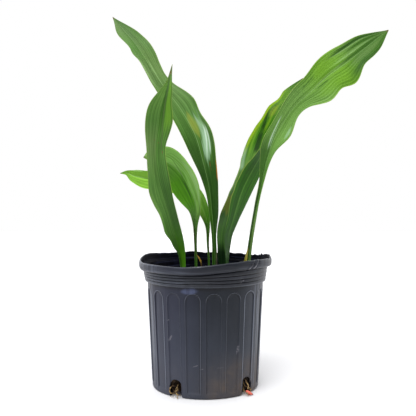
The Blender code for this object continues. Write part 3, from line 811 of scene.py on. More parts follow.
def cut_away(piece, cutter):
    """Subtract the cutter and take it away."""
    for part in (piece, cutter):
        mesh = bmesh.new()
        mesh.from_mesh(part.data)
        bmesh.ops.recalc_face_normals(mesh, faces=mesh.faces)
        mesh.to_mesh(part.data)
        mesh.free()
    holes = piece.modifiers.new("holes", "BOOLEAN")
    holes.operation = "DIFFERENCE"
    holes.solver = "EXACT"
    holes.object = cutter
    graph = bpy.context.evaluated_depsgraph_get()
    made = bpy.data.meshes.new_from_object(piece.evaluated_get(graph))
    piece.modifiers.clear()
    piece.data = made
    while len(piece.data.materials) > 1:
        piece.data.materials.pop()
    bpy.data.objects.remove(cutter, do_unlink=True)


def soft_streak(f, place, angle, z, size, stretch, lean):
    """Soft streak on the pot at an angle and height; size across and stretch along it."""
    out, side = around(angle)
    spot = out * (body_radius(z) if z < BAND_Z else BAND_RADIUS) + np.array([0, 0, z])
    lean = math.radians(lean)
    long = side * math.sin(lean) + np.array([0, 0, math.cos(lean)])
    wide = side * math.cos(lean) - np.array([0, 0, math.sin(lean)])
    off = f.node("ShaderNodeVectorMath", {"operation": "SUBTRACT"}, {0: place, 1: tuple(spot * MM)})
    parts = []
    for direction, reach in ((long, stretch), (wide, size), (out, 12.0)):
        aim = tuple(direction / (reach * MM))
        dot = f.node("ShaderNodeVectorMath", {"operation": "DOT_PRODUCT"}, {0: off, 1: aim}, "Value")
        parts.append(dot * dot)
    return 1 - f.ease(parts[0] + parts[1] + parts[2], 0.15, 1.0)


def dust_and_side_sheen(f, place, broad, grain, smear, collar):
    """How much dusty grey lies where: real dusting in patches and thick near the foot; painted reflection at
    the sides and in streaks near the outline; less on the collar, whose darker middle and right are painted
    shade; streaks on the collar, stronger on the lit left, partly painted sheen.
    """
    x, _, z = f.split(place)
    threads = f.noise(f.scaled(place, (200.0, 200.0, 2.5)), detail=2)
    dust_and_sheen = f.ease(broad, 0.4, 0.8) * 0.10 + f.ease(grain, 0.55, 0.8) * 0.04
    dust_and_sheen = dust_and_sheen + (1 - f.ease(z, -0.02, 0.20)) * 0.36
    # painted reflection: lighter towards both sides
    dust_and_sheen = dust_and_sheen + f.ease(-x, 0.01, 0.045) * 0.09 + f.ease(x, 0.055, 0.09) * 0.22
    # painted reflection streaks near the outline
    dust_and_sheen = dust_and_sheen + f.ease(abs(x), 0.078, 0.1) * (f.ease(threads, 0.45, 0.62) * 0.9 - 0.15)
    # painted shade: collar darker, apart from its lit left side
    dust_and_sheen = dust_and_sheen * (1 - f.ease(z, 0.196, 0.204) * f.ease(x, -0.07, 0.0) * 0.7)
    dust_and_sheen = dust_and_sheen * (1 - collar * 0.35)
    # streaks on the collar, stronger on the lit left side: partly painted sheen
    left = 1 - f.ease(x, -0.05, 0.01)
    return dust_and_sheen + collar * f.ease(smear, 0.5, 0.66) * (0.08 + 0.12 * left)


def plastic_finish(s):
    """Black moulded plastic with drag lines, dust, scuffs and a dirty foot."""
    f = Finish("black_moulded_plastic", specular=0.24)
    place = f.place()
    x, _, z = f.split(place)
    worn = f.attribute("worn")
    drag = f.noise(f.scaled(place, (70.0, 70.0, 3.0)), detail=4)
    broad = f.noise(place, 14.0, 3)
    grain = f.noise(place, 900.0, 2)
    # painted light: body lighter and more purple-blue towards the left, the side the light comes from
    plastic = f.mix(f.ease(x, -0.09, 0.03), s.lit_side_plastic, s.plastic)
    base = f.mix(f.ease(drag, 0.35, 0.7) * 0.5, plastic, f.darker(plastic, (0.6, 0.6, 0.62)))
    # painted shade: collar and rim darkened towards near black, a little less on the rim band
    collar_shade = f.ease(z, 0.192, 0.203) * (0.9 - 0.35 * f.ease(z, 0.222, 0.228))
    base = f.mix(collar_shade, base, (0.002, 0.002, 0.004))
    collar = f.ease(z, 0.200, 0.206)
    smear = f.noise(f.scaled(place, (16.0, 16.0, 300.0)), detail=3)
    # dusty grey: real dusting at the foot, painted sheen at the sides
    base = f.mix(dust_and_side_sheen(f, place, broad, grain, smear, collar), base, s.dust_and_sheen_grey)
    splash = f.noise(place, 38.0, 5, 0.65)
    low = 1 - f.ease(z, 0.020, 0.095)
    right = 0.15 + 0.85 * f.ease(x, -0.02, 0.05)
    base = f.mix(low * right * (0.45 + 0.55 * f.ease(splash, 0.4, 0.65)) * 0.8, base, s.dirt)
    # rubbed marks, with painted highlights on the rim's top edge and crease crests
    marks = 0.0
    for *mark, strength in SCUFFS_AND_GLINTS:
        marks = soft_streak(f, place, *mark) * strength + marks
    broken = f.ease(f.noise(place, 420.0, 3), 0.35, 0.65)
    base = f.mix(marks * broken, base, s.scuff_and_glint)
    # painted shade: near black in the hollows beside the beads and in the collar's inward bends
    base = f.mix(f.ease(-worn, 0.0, 0.6) * 0.75, base, (0.002, 0.002, 0.003))
    # painted highlight on the beads and the collar's outward bends, stronger towards the sides
    shine = 0.15 + 0.40 * drag + collar * (0.5 * smear - 0.25)
    shine = shine * (1 - 0.45 * collar * f.ease(x, -0.06, -0.01))
    shine = shine + f.ease(abs(x), 0.055, 0.085) * (1 - collar) * 0.3
    base = f.mix(f.math("MAXIMUM", worn) * shine, base, s.edge_light)
    # painted highlight: soft purple-blue sheen below the collar
    base = f.mix(soft_streak(f, place, *SHEEN) * f.ease(drag, 0.2, 0.6) * 0.6, base, tint("#5C668A"))
    rough = 0.30 + 0.14 * broad + 0.25 * low * splash + 0.06 * grain
    lines = f.noise(f.scaled(place, (260.0, 260.0, 6.0)), detail=3)
    height = lines * 0.5 + grain * 0.25 + broad * 0.8
    return f.show(base, rough, f.bump(height, distance=0.0005, strength=0.6))


def shaded_inner_finish():
    """Inside of the pot: a darker, less glossy copy of the plastic, painted shade, with drag lines and
    painted highlight streaks.
    """
    f = Finish("shaded_inner_plastic", specular=0.05)
    place = f.place()
    drag = f.noise(f.scaled(place, (90.0, 90.0, 4.0)), detail=3)
    smear = f.noise(f.scaled(place, (14.0, 14.0, 420.0)), detail=3)
    base = f.mix(f.ease(drag, 0.5, 0.75), (0.0012, 0.0012, 0.004), (0.008, 0.009, 0.022))
    # painted highlight streaks on the inside wall
    base = f.mix(f.ease(smear, 0.52, 0.66) * 0.5, base, tint("#343850"))
    return f.show(base, 0.5 + 0.2 * drag)


def make_pot(s):
    """Fluted pot, as one closed shell with four drain holes."""
    grid, worn = pot_points(s)
    rings, count = grid.shape[:2]
    verts = np.concatenate([grid.reshape(-1, 3), [[0, 0, 0], [0, 0, POT_FLOOR_Z]]])
    faces = ring_faces(rings, count) + cap_faces(rings, count)
    pot = new_piece("fluted_pot", verts, faces, plastic_finish(s))
    # painted highlight and shade along the beaded edges and collar bends
    store(pot, worn=np.concatenate([worn.ravel(), [0.0, 0.0]]))
    cut_away(pot, hole_cutter(s.hole_width / MM))
    # painted shade: faces inside the pot take the darker copy of the plastic
    pot.data.materials.append(shaded_inner_finish())
    for face in pot.data.polygons:
        x, y, z = face.center / MM
        inward = face.normal.x * x + face.normal.y * y < -0.3 * math.hypot(x, y)
        inside = inward or math.hypot(x, y) < INNER_FLOOR_RADIUS
        face.material_index = int(inside and z > POT_FLOOR_Z + 0.1)
    pot.data.set_sharp_from_angle(angle=math.radians(45))
    seat(pot, "pot_plastic", "pot")


# ---------------------------------------------------------------- soil

def lumps(x, y, draw):
    """Uneven surface from 36 crossing waves."""
    total = np.zeros_like(x)
    for _ in range(36):
        size = draw.uniform(5.0, 38.0)
        way = draw.uniform(0, TWO_PI)
        phase = draw.uniform(0, TWO_PI)
        total += 0.020 * size * np.sin(TWO_PI * (x * math.cos(way) + y * math.sin(way)) / size + phase)
    return total


def soil_top(x, y):
    """Height of the soil surface, heaped up a little round each stalk."""
    r = np.hypot(x, y)
    crown = SOIL_EDGE_Z + (SOIL_CROWN_Z - SOIL_EDGE_Z) * (1 - ease(r, 30.0, SOIL_TOP_RADIUS))
    heap = lumps(x, y, np.random.default_rng(5))
    for _, rows, *_ in LEAVES.values():
        away = np.hypot(x - rows[0][0], y - rows[0][1])
        heap = heap + 1.6 * np.exp(-(away / 9.0) ** 2)
    return crown + heap * (1 - 0.5 * ease(r, 95.0, 106.0))


def soil_side(z, turn):
    """Radius of the soil's rough side at one height, drawn in at the foot and at each pocket."""
    r = body_radius(z) - SOIL_INSET - 5.0 * (1 - ease(z, 5.0, 13.0)) + np.zeros_like(turn)
    for _, angle, _ in ROOT_LOOPS.values():
        off = (turn - math.radians(angle) + math.pi) % TWO_PI - math.pi
        away = np.hypot(off * FOOT_RADIUS, z - POCKET_Z) / POCKET_RADIUS
        r = r - POCKET_DEPTH * (1 - ease(away, 0.6, 1.15))
    rough = lumps(turn * FOOT_RADIUS, np.full_like(turn, z), np.random.default_rng(6)) - 1.2
    return r + np.minimum(rough, 0.0)


def soil_finish(s):
    """Damp crumbly potting mix."""
    f = Finish("potting_mix", specular=0.25)
    place = f.place()
    grain = f.noise(place, 260.0, 5, 0.7)
    broad = f.noise(place, 45.0, 4)
    clods = f.clods(place, 330.0)
    base = f.mix(f.ease(grain * 0.6 + broad * 0.4, 0.42, 0.66), s.damp, s.dry)
    fleck = f.ease(f.noise(place, 620.0, 2), 0.66, 0.74)
    base = f.mix(fleck * 0.6, base, s.bark)
    return f.show(base, 0.82 + 0.16 * grain, f.bump(grain + clods * 0.7, distance=0.0014, strength=0.9))


def bark_finish(s):
    """Weathered bark, light and dark along its grain."""
    f = Finish("bark_chip", specular=0.3)
    place = f.place()
    number = f.attribute("number")
    grain = f.noise(f.scaled(place, (320.0, 900.0, 320.0)), detail=4)
    own = f.noise(f.join(number * 7.31, number * 1.7, 0.0), 1.0, 0)
    base = f.mix(f.ease(grain, 0.3, 0.7), s.damp, s.bark)
    base = f.mix(f.ease(own, 0.35, 0.7) * 0.55, base, s.dry)
    return f.show(base, 0.7 + 0.25 * grain, f.bump(grain, distance=0.0008, strength=0.8))


def lump_shape(detail):
    """Points and faces of a small round lump of size one."""
    mesh = bmesh.new()
    bmesh.ops.create_icosphere(mesh, subdivisions=detail, radius=1.0)
    verts = np.array([v.co[:] for v in mesh.verts])
    faces = [tuple(v.index for v in f.verts) for f in mesh.faces]
    mesh.free()
    return verts, faces


def scatter(draw, count, detail, size, squash, reach):
    """Uneven lumps lying on the soil out to a radius, clear of the stalks."""
    shape, faces = lump_shape(detail)
    stalks = np.array([rows[0][:2] for _, rows, *_ in LEAVES.values()])
    parts = []
    while len(parts) < count:
        r, a = reach * math.sqrt(draw.random()), draw.uniform(0, TWO_PI)
        x, y = r * math.cos(a), r * math.sin(a)
        big = size * draw.lognormal(0.0, 0.35)
        if np.hypot(*(stalks - (x, y)).T).min() < STALK_ROOM + big:
            continue
        lump = shape * draw.uniform(0.72, 1.2, (len(shape), 1)) * big * np.array(squash)
        yaw, tilt = draw.uniform(0, TWO_PI), draw.normal(0, 0.35)
        c, d = math.cos(yaw), math.sin(yaw)
        lump[:, 2] += lump[:, 0] * math.sin(tilt)
        lump = lump @ np.array([[c, d, 0], [-d, c, 0], [0, 0, 1]])
        z = float(soil_top(np.array([x]), np.array([y]))[0]) + 0.45 * big * squash[2]
        parts.append((lump + (x, y, z), faces))
    return parts


def make_soil(s):
    """Soil block with an uneven top, a pocket behind each rooted hole, crumbs and bark."""
    turn = TWO_PI * np.arange(SOIL_SIDES) / SOIL_SIDES
    across, back = np.sin(turn), -np.cos(turn)
    rings = []
    for r in np.append(np.linspace(2.5, SOIL_TOP_RADIUS, 62), SOIL_SHOULDER_RADIUS):
        sunk = 1.5 if r == SOIL_SHOULDER_RADIUS else 0.0
        rings.append(np.stack([r * across, r * back, soil_top(r * across, r * back) - sunk], -1))
    for z in np.concatenate([np.linspace(180, 40, 8), np.linspace(32, 7, 14), [SOIL_FLOOR_Z]]):
        r = soil_side(z, turn)
        rings.append(np.stack([r * across, r * back, np.full(SOIL_SIDES, z)], -1))
    top = float(soil_top(np.zeros(1), np.zeros(1))[0])
    verts = np.concatenate(rings + [[[0, 0, top], [0, 0, SOIL_FLOOR_Z]]])
    inward = ring_faces(len(rings), SOIL_SIDES) + cap_faces(len(rings), SOIL_SIDES)
    mix = soil_finish(s)
    bed = new_piece("potting_soil", verts, [face[::-1] for face in inward], mix, sharp=60)
    seat(bed, "soil_mix", "soil")
    draw = np.random.default_rng(21)
    crumbs = scatter(draw, s.crumbs, detail=1, size=s.crumb_size / MM, squash=(1, 1, 0.8), reach=101.0)
    chips = scatter(draw, s.chips, detail=2, size=s.chip_size / MM / 2, squash=(1, 0.55, 0.22), reach=97.0)
    for name, parts, material in (("soil_crumbs", crumbs, mix), ("bark_chips", chips, bark_finish(s))):
        verts, faces, numbers = gather(parts)
        piece = new_piece(name, verts, faces, material, sharp=35)
        store(piece, number=numbers)
        seat(piece, "soil_mix")


# ---------------------------------------------------------------- leaves

# How softly the two halves of a blade meet at the midrib, as a share of the half width
CREASE = 0.15
# Where the mesh of a leaf ends, just short of the point of its tip
LEAF_END = 0.9985

# Colours of living and aged leaf skin; glint and sheen are painted highlights, channel_shade is painted shade
SKIN = {
    "channel_shade": "#0A280C", "deep": "#264E0E", "forest": "#345E18", "leaf": "#447222", "moss": "#548234",
    "dusty": "#6A8C4A", "vivid": "#4E8C0E", "sage": "#6C9844", "fresh": "#6EA028", "bright": "#80B440",
    "lime": "#8AC25A", "pale": "#9CC47C", "olive": "#5A6018", "ochre": "#8C9A38", "edge": "#A8BE54",
    "ash": "#4C5C34", "glint": "#CCE2D0", "sheen": "#A8CCA8", "straw": "#C8C050", "rust": "#B8682C",
    "scar": "#6A4C24", "maroon": "#4A3024", "lemon": "#A0C424", "spring": "#90C83C", "bottle": "#2C6212",
}


def skin(name):
    """Linear colour of one kind of leaf skin."""
    return tint(SKIN[name])


# Skin of each leaf along its left and its right half (place from 0 at the soil to 1 at
# the tip), of its underside, its fine veins and, where it isn't plainly scarred, its tip.
# Marks: place along, place across (left above 0, right below), reach along, reach across,
# skin and strength. Stripes run along the blade: start, end, place across at the start and
# at the end, half width, skin and strength. Both fade on the underside, apart from the
# right half's stripes where outer_stripes is set.
# Glint and sheen are painted highlights wherever they stand in these tables.
LOOKS = {
    "tall_leaf": {
        "left": ((0.0, "forest"), (0.25, "leaf"), (0.35, "deep"), (0.45, "forest"), (0.55, "moss"),
                 (0.75, "dusty"), (0.85, "moss"), (1.0, "dusty")),
        "right": ((0.0, "deep"), (0.35, "deep"), (0.45, "leaf"), (0.55, "moss"), (0.75, "dusty"),
                  (1.0, "leaf")),
        "under": "moss", "vein": "pale",
        "marks": (
            # the sheen mark is a painted highlight
            (0.45, -0.5, 0.05, 0.3, "sheen", 0.45), (0.53, -0.2, 0.05, 0.3, "ochre", 0.65),
            (0.39, -0.5, 0.01, 0.06, "scar", 0.8), (0.375, -0.5, 0.006, 0.04, "scar", 0.8),
        ),
        "stripes": (
            # sheen and glint stripes are painted highlights
            (0.4, 0.55, -0.3, -0.65, 0.2, "sheen", 0.5), (0.42, 0.52, -0.4, -0.7, 0.06, "glint", 0.7),
            (0.43, 0.51, -0.65, -0.75, 0.06, "glint", 0.6), (0.43, 0.49, -0.8, -0.95, 0.08, "deep", 0.7),
            (0.34, 0.4, -0.95, -1.0, 0.06, "rust", 0.9), (0.3, 0.4, -0.6, -0.65, 0.2, "deep", 0.7),
            (0.7, 0.8, 0.4, 0.15, 0.08, "forest", 0.6), (0.7, 0.8, 0.0, -0.15, 0.05, "pale", 0.5),
            (0.7, 0.8, 0.8, 0.9, 0.12, "pale", 0.4), (0.8, 0.95, -0.75, -0.6, 0.25, "moss", 0.4),
        ),
    },
    "front_leaf": {
        "left": ((0.0, "forest"), (0.2, "leaf"), (0.35, "moss"), (0.5, "moss"), (0.65, "dusty"),
                 (0.75, "moss"), (0.9, "sage"), (1.0, "olive")),
        "right": ((0.0, "leaf"), (0.15, "vivid"), (0.3, "forest"), (0.45, "forest"), (0.6, "moss"),
                  (0.75, "leaf"), (0.85, "forest"), (0.95, "leaf"), (1.0, "olive")),
        "under": "moss", "vein": "sage", "tip": "ochre",
        "marks": (
            (0.62, -0.7, 0.008, 0.06, "scar", 0.8), (0.67, 0.2, 0.004, 0.03, "scar", 0.7),
            (0.66, -0.2, 0.004, 0.05, "scar", 0.7), (0.4, 0.85, 0.1, 0.2, "sage", 0.5),
            (0.96, 0.0, 0.012, 1.0, "scar", 0.6),
        ),
        "stripes": (
            (0.6, 0.75, -0.7, -0.3, 0.05, "ash", 0.7), (0.75, 0.95, -0.3, -0.25, 0.06, "ash", 0.7),
            (0.72, 0.94, -0.65, -0.65, 0.3, "fresh", 0.5), (0.4, 0.6, 0.6, 0.25, 0.05, "sage", 0.4),
            (0.2, 0.4, 0.35, 0.2, 0.06, "deep", 0.6), (0.45, 0.65, -0.2, -0.3, 0.06, "forest", 0.5),
        ),
    },
    "arched_leaf": {
        "left": ((0.0, "leaf"), (0.35, "forest"), (0.45, "moss"), (0.55, "vivid"), (0.7, "vivid"),
                 (1.0, "sage")),
        "right": ((0.0, "leaf"), (0.4, "leaf"), (0.5, "sage"), (0.6, "lime"), (0.9, "lime"), (1.0, "pale")),
        "under": "sage", "vein": "pale",
        "marks": ((0.65, -0.7, 0.15, 0.25, "pale", 0.5), (0.5, -0.3, 0.05, 0.3, "lime", 0.4)),
        "stripes": (
            (0.54, 0.76, 0.3, -0.2, 0.12, "vivid", 0.8), (0.55, 0.7, 0.2, 0.1, 0.07, "deep", 0.85),
            (0.7, 0.83, 0.1, -0.3, 0.04, "forest", 0.7), (0.5, 0.8, -0.55, -0.5, 0.05, "fresh", 0.5),
            (0.2, 0.36, 0.8, 0.8, 0.5, "maroon", 0.6), (0.2, 0.36, -0.8, -0.8, 0.3, "maroon", 0.6),
        ),
    },
    "low_leaf": {
        "left": ((0.0, "forest"), (0.35, "leaf"), (0.45, "bright"), (0.7, "spring"), (0.9, "spring"),
                 (1.0, "fresh")),
        "right": ((0.0, "forest"), (0.3, "leaf"), (0.4, "vivid"), (0.5, "bright"), (0.8, "fresh"),
                  (1.0, "fresh")),
        "under": "sage", "vein": "pale",
        "marks": ((0.9, -0.9, 0.04, 0.15, "pale", 0.5), (0.96, 0.1, 0.02, 0.5, "moss", 0.4)),
        "stripes": ((0.85, 0.97, -0.1, 0.1, 0.06, "pale", 0.5), (0.17, 0.3, -0.7, -0.7, 0.5, "maroon", 0.6)),
    },
    "folded_leaf": {
        # channel_shade at the foot is painted shade in the fold's channel
        "left": ((0.0, "channel_shade"), (0.15, "channel_shade"), (0.2, "forest"), (0.3, "deep"), (0.4, "forest"),
                 (0.55, "sage"), (0.65, "vivid"), (0.75, "vivid"), (0.85, "sage"), (1.0, "leaf")),
        "right": ((0.0, "deep"), (0.2, "leaf"), (0.25, "vivid"), (0.5, "vivid"), (0.6, "leaf"),
                  (0.8, "moss"), (1.0, "leaf")),
        "under": "bottle", "vein": "sage", "outer_stripes": True,
        "marks": ((0.8, 0.6, 0.035, 0.2, "ochre", 0.5), (0.88, 0.7, 0.05, 0.5, "fresh", 0.5)),
        "stripes": (
            # channel_shade stripes are painted shade in the fold's channel; the sheen stripe is a painted
            # highlight
            (0.6, 0.7, 0.5, 0.6, 0.12, "channel_shade", 0.8), (0.7, 0.8, 0.6, 0.95, 0.12, "channel_shade", 0.7),
            (0.6, 0.72, 0.75, 0.85, 0.06, "fresh", 0.8), (0.5, 0.62, 0.9, 0.95, 0.1, "sheen", 0.5),
            (0.47, 0.58, -0.7, -0.6, 0.25, "deep", 0.6), (0.2, 0.4, -0.5, -0.55, 0.06, "sage", 0.25),
            (0.3, 0.38, 0.8, 0.95, 0.2, "olive", 0.7), (0.6, 0.92, 0.95, 0.93, 0.1, "lemon", 0.75),
            (0.7, 0.85, 0.5, 0.6, 0.08, "lemon", 0.3), (0.3, 0.6, -0.3, -0.35, 0.05, "deep", 0.6),
            (0.25, 0.5, -0.75, -0.8, 0.05, "deep", 0.6), (0.35, 0.6, -0.55, -0.6, 0.04, "sage", 0.3),
        ),
    },
    "broad_leaf": {
        "left": ((0.0, "leaf"), (0.2, "forest"), (0.3, "deep"), (0.35, "leaf"), (0.45, "leaf"),
                 (0.5, "sage"), (0.65, "sage"), (0.75, "fresh"), (0.8, "bright"), (0.85, "sage"),
                 (0.92, "leaf"), (1.0, "dusty")),
        "right": ((0.0, "dusty"), (0.2, "dusty"), (0.3, "leaf"), (0.4, "moss"), (0.5, "sage"), (0.65, "sage"),
                  (0.8, "fresh"), (0.87, "leaf"), (1.0, "moss")),
        "under": "dusty", "vein": "pale",
        "marks": (
            (0.76, 0.55, 0.05, 0.35, "fresh", 0.6), (0.75, -0.5, 0.07, 0.3, "fresh", 0.5),
            # the sheen mark is a painted highlight
            (0.53, -0.75, 0.03, 0.16, "sheen", 0.4), (0.9, -0.3, 0.08, 0.3, "dusty", 0.5),
        ),
        "stripes": (
            (0.8, 1.0, 0.75, 0.85, 0.12, "deep", 0.95), (0.85, 1.0, 0.5, 0.6, 0.09, "forest", 0.9),
            (0.8, 1.0, 0.1, 0.15, 0.08, "forest", 0.9), (0.7, 0.83, 0.05, 0.1, 0.05, "dusty", 0.6),
            (0.67, 0.72, 0.55, 0.6, 0.04, "forest", 0.9), (0.7, 0.75, -0.1, -0.15, 0.035, "forest", 0.9),
            (0.82, 0.95, -0.65, -0.95, 0.18, "forest", 0.85), (0.8, 0.95, 0.65, 0.7, 0.05, "pale", 0.35),
            # glint and sheen stripes are painted highlights
            (0.8, 0.95, 0.3, 0.35, 0.07, "pale", 0.35), (0.46, 0.56, 0.25, 0.5, 0.08, "glint", 0.5),
            (0.46, 0.53, 0.1, 0.25, 0.03, "sheen", 0.6), (0.37, 0.45, 0.65, 0.9, 0.16, "forest", 0.6),
            (0.08, 0.13, 0.95, 0.95, 0.5, "straw", 0.85),
        ),
    },
}


def blade_frame(table, s):
    """Midrib row values and the across and outward directions at places along a blade."""
    knots, _ = arc_knots(table[:, :3])
    line = hermite(knots, table, s)
    ahead = hermite(knots, table[:, :3], np.clip(s + 1e-3, 0, 1))
    behind = hermite(knots, table[:, :3], np.clip(s - 1e-3, 0, 1))
    tangent = units(ahead - behind)
    roll = np.radians(line[:, 4])[:, None]
    level = units(np.cross(tangent, np.array([[0.0, 1.0, 0.0]])))
    across = np.cos(roll) * level + np.sin(roll) * np.cross(tangent, level)
    return line, across, np.cross(tangent, across)


def fine_relief(u, s, share, half, pleats, pleat, ruffle, draw):
    """Long pleats, the groove over the midrib and the ruffled margin."""
    edge = np.abs(u)
    uneven = 0.65 + 0.35 * np.sin(TWO_PI * 1.7 * u + draw.uniform(0, TWO_PI) + 2.0 * s)
    flat = (1 - edge ** 8) * ease(edge, 0.02, 0.10)
    relief = pleat * share * uneven * flat * np.cos(TWO_PI * pleats * edge)
    relief = relief - 0.5 * share * np.exp(-(u * half / 1.4) ** 2)
    for count in (7.0, 12.0, 19.0):
        left, right = draw.uniform(0, TWO_PI, 2)
        turn = TWO_PI * count * s + np.where(u < 0, left, right)
        relief = relief + ruffle * share * (7.0 / count) * edge ** 5 * np.sin(turn)
    return relief


def margin_share(pairs, s):
    """How far one margin lies out at places along a blade."""
    knots, values = np.array(pairs).T
    return hermite(knots, values[:, None], np.clip(s, knots[0], knots[-1]))


def blade_surface(rows, wave, margins, u, s, relief):
    """Upper face of a blade as a grid of points, its normals and half widths."""
    line, across, out = blade_frame(np.array(rows, float), s)
    half = np.maximum(line[:, 3], 0.2)[:, None]
    if margins:
        half = half * np.where(u[None, :] > 0, margin_share(margins[0], s), margin_share(margins[1], s))
    fold = np.radians(line[:, 5])[:, None]
    share = np.minimum(half / half.max(), 1.0)
    height, count, phase = wave
    columns, places = u[None, :], s[:, None]
    rise = np.sqrt(columns ** 2 + CREASE ** 2) - CREASE
    turn = TWO_PI * count * places + np.where(columns < 0, phase, phase + 2.1)
    lift = half * rise * np.sin(fold) + height * share * columns ** 2 * np.sin(turn)
    lift = lift + relief(columns, places, share, half)
    flat = half * columns * np.cos(fold)
    grid = line[:, None, :3] + across[:, None] * flat[..., None] + out[:, None] * lift[..., None]
    normal = units(np.cross(np.gradient(grid, axis=0), np.gradient(grid, u, axis=1)))
    return grid, normal, half


def blade_thickness(half, s, u, stalk, blade, rib):
    """Thickness grid: a stout stalk that thins to a blade with a midrib and thin margins."""
    near = (s < 0.5)[:, None]
    stem = np.clip((13.0 - half) / 8.0, 0.0, 1.0) * near
    tip = np.clip(half / 6.0, 0.2, 1.0)
    middle = stem * (stalk - blade) + (1 - stem) * rib * np.where(near, 1.0, tip)
    spread = 0.75 * stem + 0.16 * (1 - stem)
    edge = np.abs(u)[None, :]
    margin = 1 - 0.5 * (1 - stem) * ease(edge, 0.9, 1.0)
    return (blade + middle * np.exp(-(edge / spread) ** 2)) * margin


def blade_piece(name, grid, normal, thick, u, s, material):
    """Closed blade with the places that its finish reads."""
    rows, columns = grid.shape[:2]
    back = grid - normal * thick[..., None]
    verts = np.concatenate([grid.reshape(-1, 3), back.reshape(-1, 3)])
    low = rows * columns
    faces = grid_faces(rows, columns, 0, True) + grid_faces(rows, columns, low, False)
    for i in range(rows - 1):
        a = i * columns
        b = a + columns - 1
        faces += [(low + a, low + a + columns, a + columns, a), (low + b + columns, low + b, b, b + columns)]
    for j in range(columns - 1):
        a = (rows - 1) * columns + j
        faces += [(low + j + 1, low + j, j, j + 1), (low + a, low + a + 1, a + 1, a)]
    piece = new_piece(name, verts, faces, material, sharp=50)
    across = np.broadcast_to(u[None, :], (rows, columns)).ravel()
    along = np.broadcast_to(s[:, None], (rows, columns)).ravel()
    store(piece, across=np.tile(across, 2), along=np.tile(along, 2),
          upper=np.repeat([1.0, 0.0], rows * columns))
    return piece


def half_skin(f, s, stops):
    """Colour along one half of a blade."""
    stops = [(place, skin(name)) for place, name in stops]
    return f.node("ShaderNodeValToRGB", {"stops": stops}, {"Fac": s})


def marked(f, base, marks, u, s, streak, fine, face):
    """Base colour with soft-edged spots on it."""
    for along, across, long, wide, name, strength in marks:
        off_s = (s - along) / long
        off_u = (u - across) / wide
        away = off_s * off_s + off_u * off_u
        spot = 1 - f.ease(away + (streak - 0.5) * 1.6 + (fine - 0.5) * 1.0, 0.2, 1.0)
        base = f.mix(spot * (face * strength), base, skin(name))
    return base


def striped(f, base, look, u, s, streak, fine, face):
    """Base colour with stripes that run along the blade and fade at their ends."""
    for start, end, across, across_end, wide, name, strength in look["stripes"]:
        t = (s - start) * (1 / (end - start))
        away = abs(u - across - t * (across_end - across) + (fine - 0.5) * (wide * 0.8)) * (1 / wide)
        uneven = t + (streak - 0.5) * 0.8
        ends = f.ease(uneven, -0.12, 0.2) * (1 - f.ease(uneven, 0.8, 1.12))
        both_faces = look.get("outer_stripes") and across < 0
        seen = strength if both_faces else face * strength
        base = f.mix(ends * (1 - f.ease(away, 0.35, 1.1)) * seen, base, skin(name))
    return base


def leaf_finish(name, look, seed, veins, pleats):
    """Glossy green blade: fine long veins, streaks, pale margin, marks with painted highlights and shade
    among them, painted shade in the pleat valleys, and a scarred tip.
    """
    f = Finish(name + "_skin", specular=0.22)
    u, s, upper = f.attribute("across"), f.attribute("along"), f.attribute("upper")
    edge = abs(u)
    streak = f.noise(f.join(u * 8.0, s * 1.3, seed), detail=2)
    fine = f.noise(f.join(u * 26.0, s * 2.6, seed + 0.3), detail=1)
    broad = f.noise(f.join(u * 1.8, s * 6.0, seed + 0.5), detail=2)
    mottle = f.noise(f.join(u * 12.0, s * 60.0, seed + 0.7), detail=2)
    light = f.mix(f.ease(u + (streak - 0.5) * 0.2, -0.12, 0.12),
                  half_skin(f, s, look["right"]), half_skin(f, s, look["left"]))
    light = f.mix((1 - upper) * 0.85, light, skin(look["under"]))
    shade = f.darker(light, (0.52, 0.60, 0.40))
    groove = f.math("COSINE", edge * (TWO_PI * pleats) + streak * 2.5)
    tone = streak * 0.45 + broad * 0.3 + fine * 0.25 + groove * 0.035
    base = f.mix(f.ease(tone, 0.38, 0.60), shade, light)
    # painted shade in the pleat valleys
    base = f.mix(f.ease(-groove, 0.75, 1.0) * f.ease(broad, 0.42, 0.62) * 0.3, base, shade)
    comb = f.math("SINE", u * (TWO_PI * veins) + streak * 3.0)
    base = f.mix(f.ease(comb, 0.2, 1.0) * f.ease(streak, 0.4, 0.65) * 0.08, base, skin(look["vein"]))
    face = 0.2 + 0.8 * upper
    base = marked(f, base, look["marks"], u, s, streak, fine, face)
    base = striped(f, base, look, u, s, streak, fine, face)
    base = f.mix((1 - f.ease(edge, 0.012, 0.04)) * 0.3, base, skin(look["vein"]))
    rim = f.ease(edge, 0.955, 0.99) * f.ease(s, 0.2, 0.4)
    base = f.mix(rim * 0.45, base, skin("edge"))
    # the tip's own brown withering, no painted light
    worn = f.ease(s + (mottle - 0.5) * 0.012, 0.985, 0.998)
    base = f.mix(worn * 0.8, base, skin(look.get("tip", "scar")))
    rough = 0.36 + 0.14 * broad + 0.05 * mottle + 0.12 * (1 - upper)
    height = comb * 0.03 + streak * 0.8 + fine * 0.25
    return f.show(base, rough, f.bump(height, distance=0.0006, strength=0.5))


def make_leaf(name, s, entry):
    """One leaf, stalk and blade in one piece."""
    node, rows, wave, stalk, pleats, ruffle, seed = entry
    _, reach = arc_knots(np.array(rows, float)[:, :3])
    places = np.linspace(0, LEAF_END, int(reach * MM / s.row_step))
    u = np.linspace(-1, 1, 2 * s.columns + 1)
    draw = np.random.default_rng(seed)

    def relief(columns, along, share, half):
        return fine_relief(columns, along, share, half, pleats, s.pleat / MM, ruffle, draw)

    grid, normal, half = blade_surface(rows, wave, MARGINS[name], u, places, relief)
    thick = blade_thickness(half, places, u, stalk, s.blade / MM, s.rib / MM)
    finish = leaf_finish(name, LOOKS[name], seed, s.veins, pleats)
    piece = blade_piece(name, grid, normal, thick, u, places, finish)
    seat(piece, "leaf_pale" if name in ("arched_leaf", "low_leaf") else "leaf_green", node)


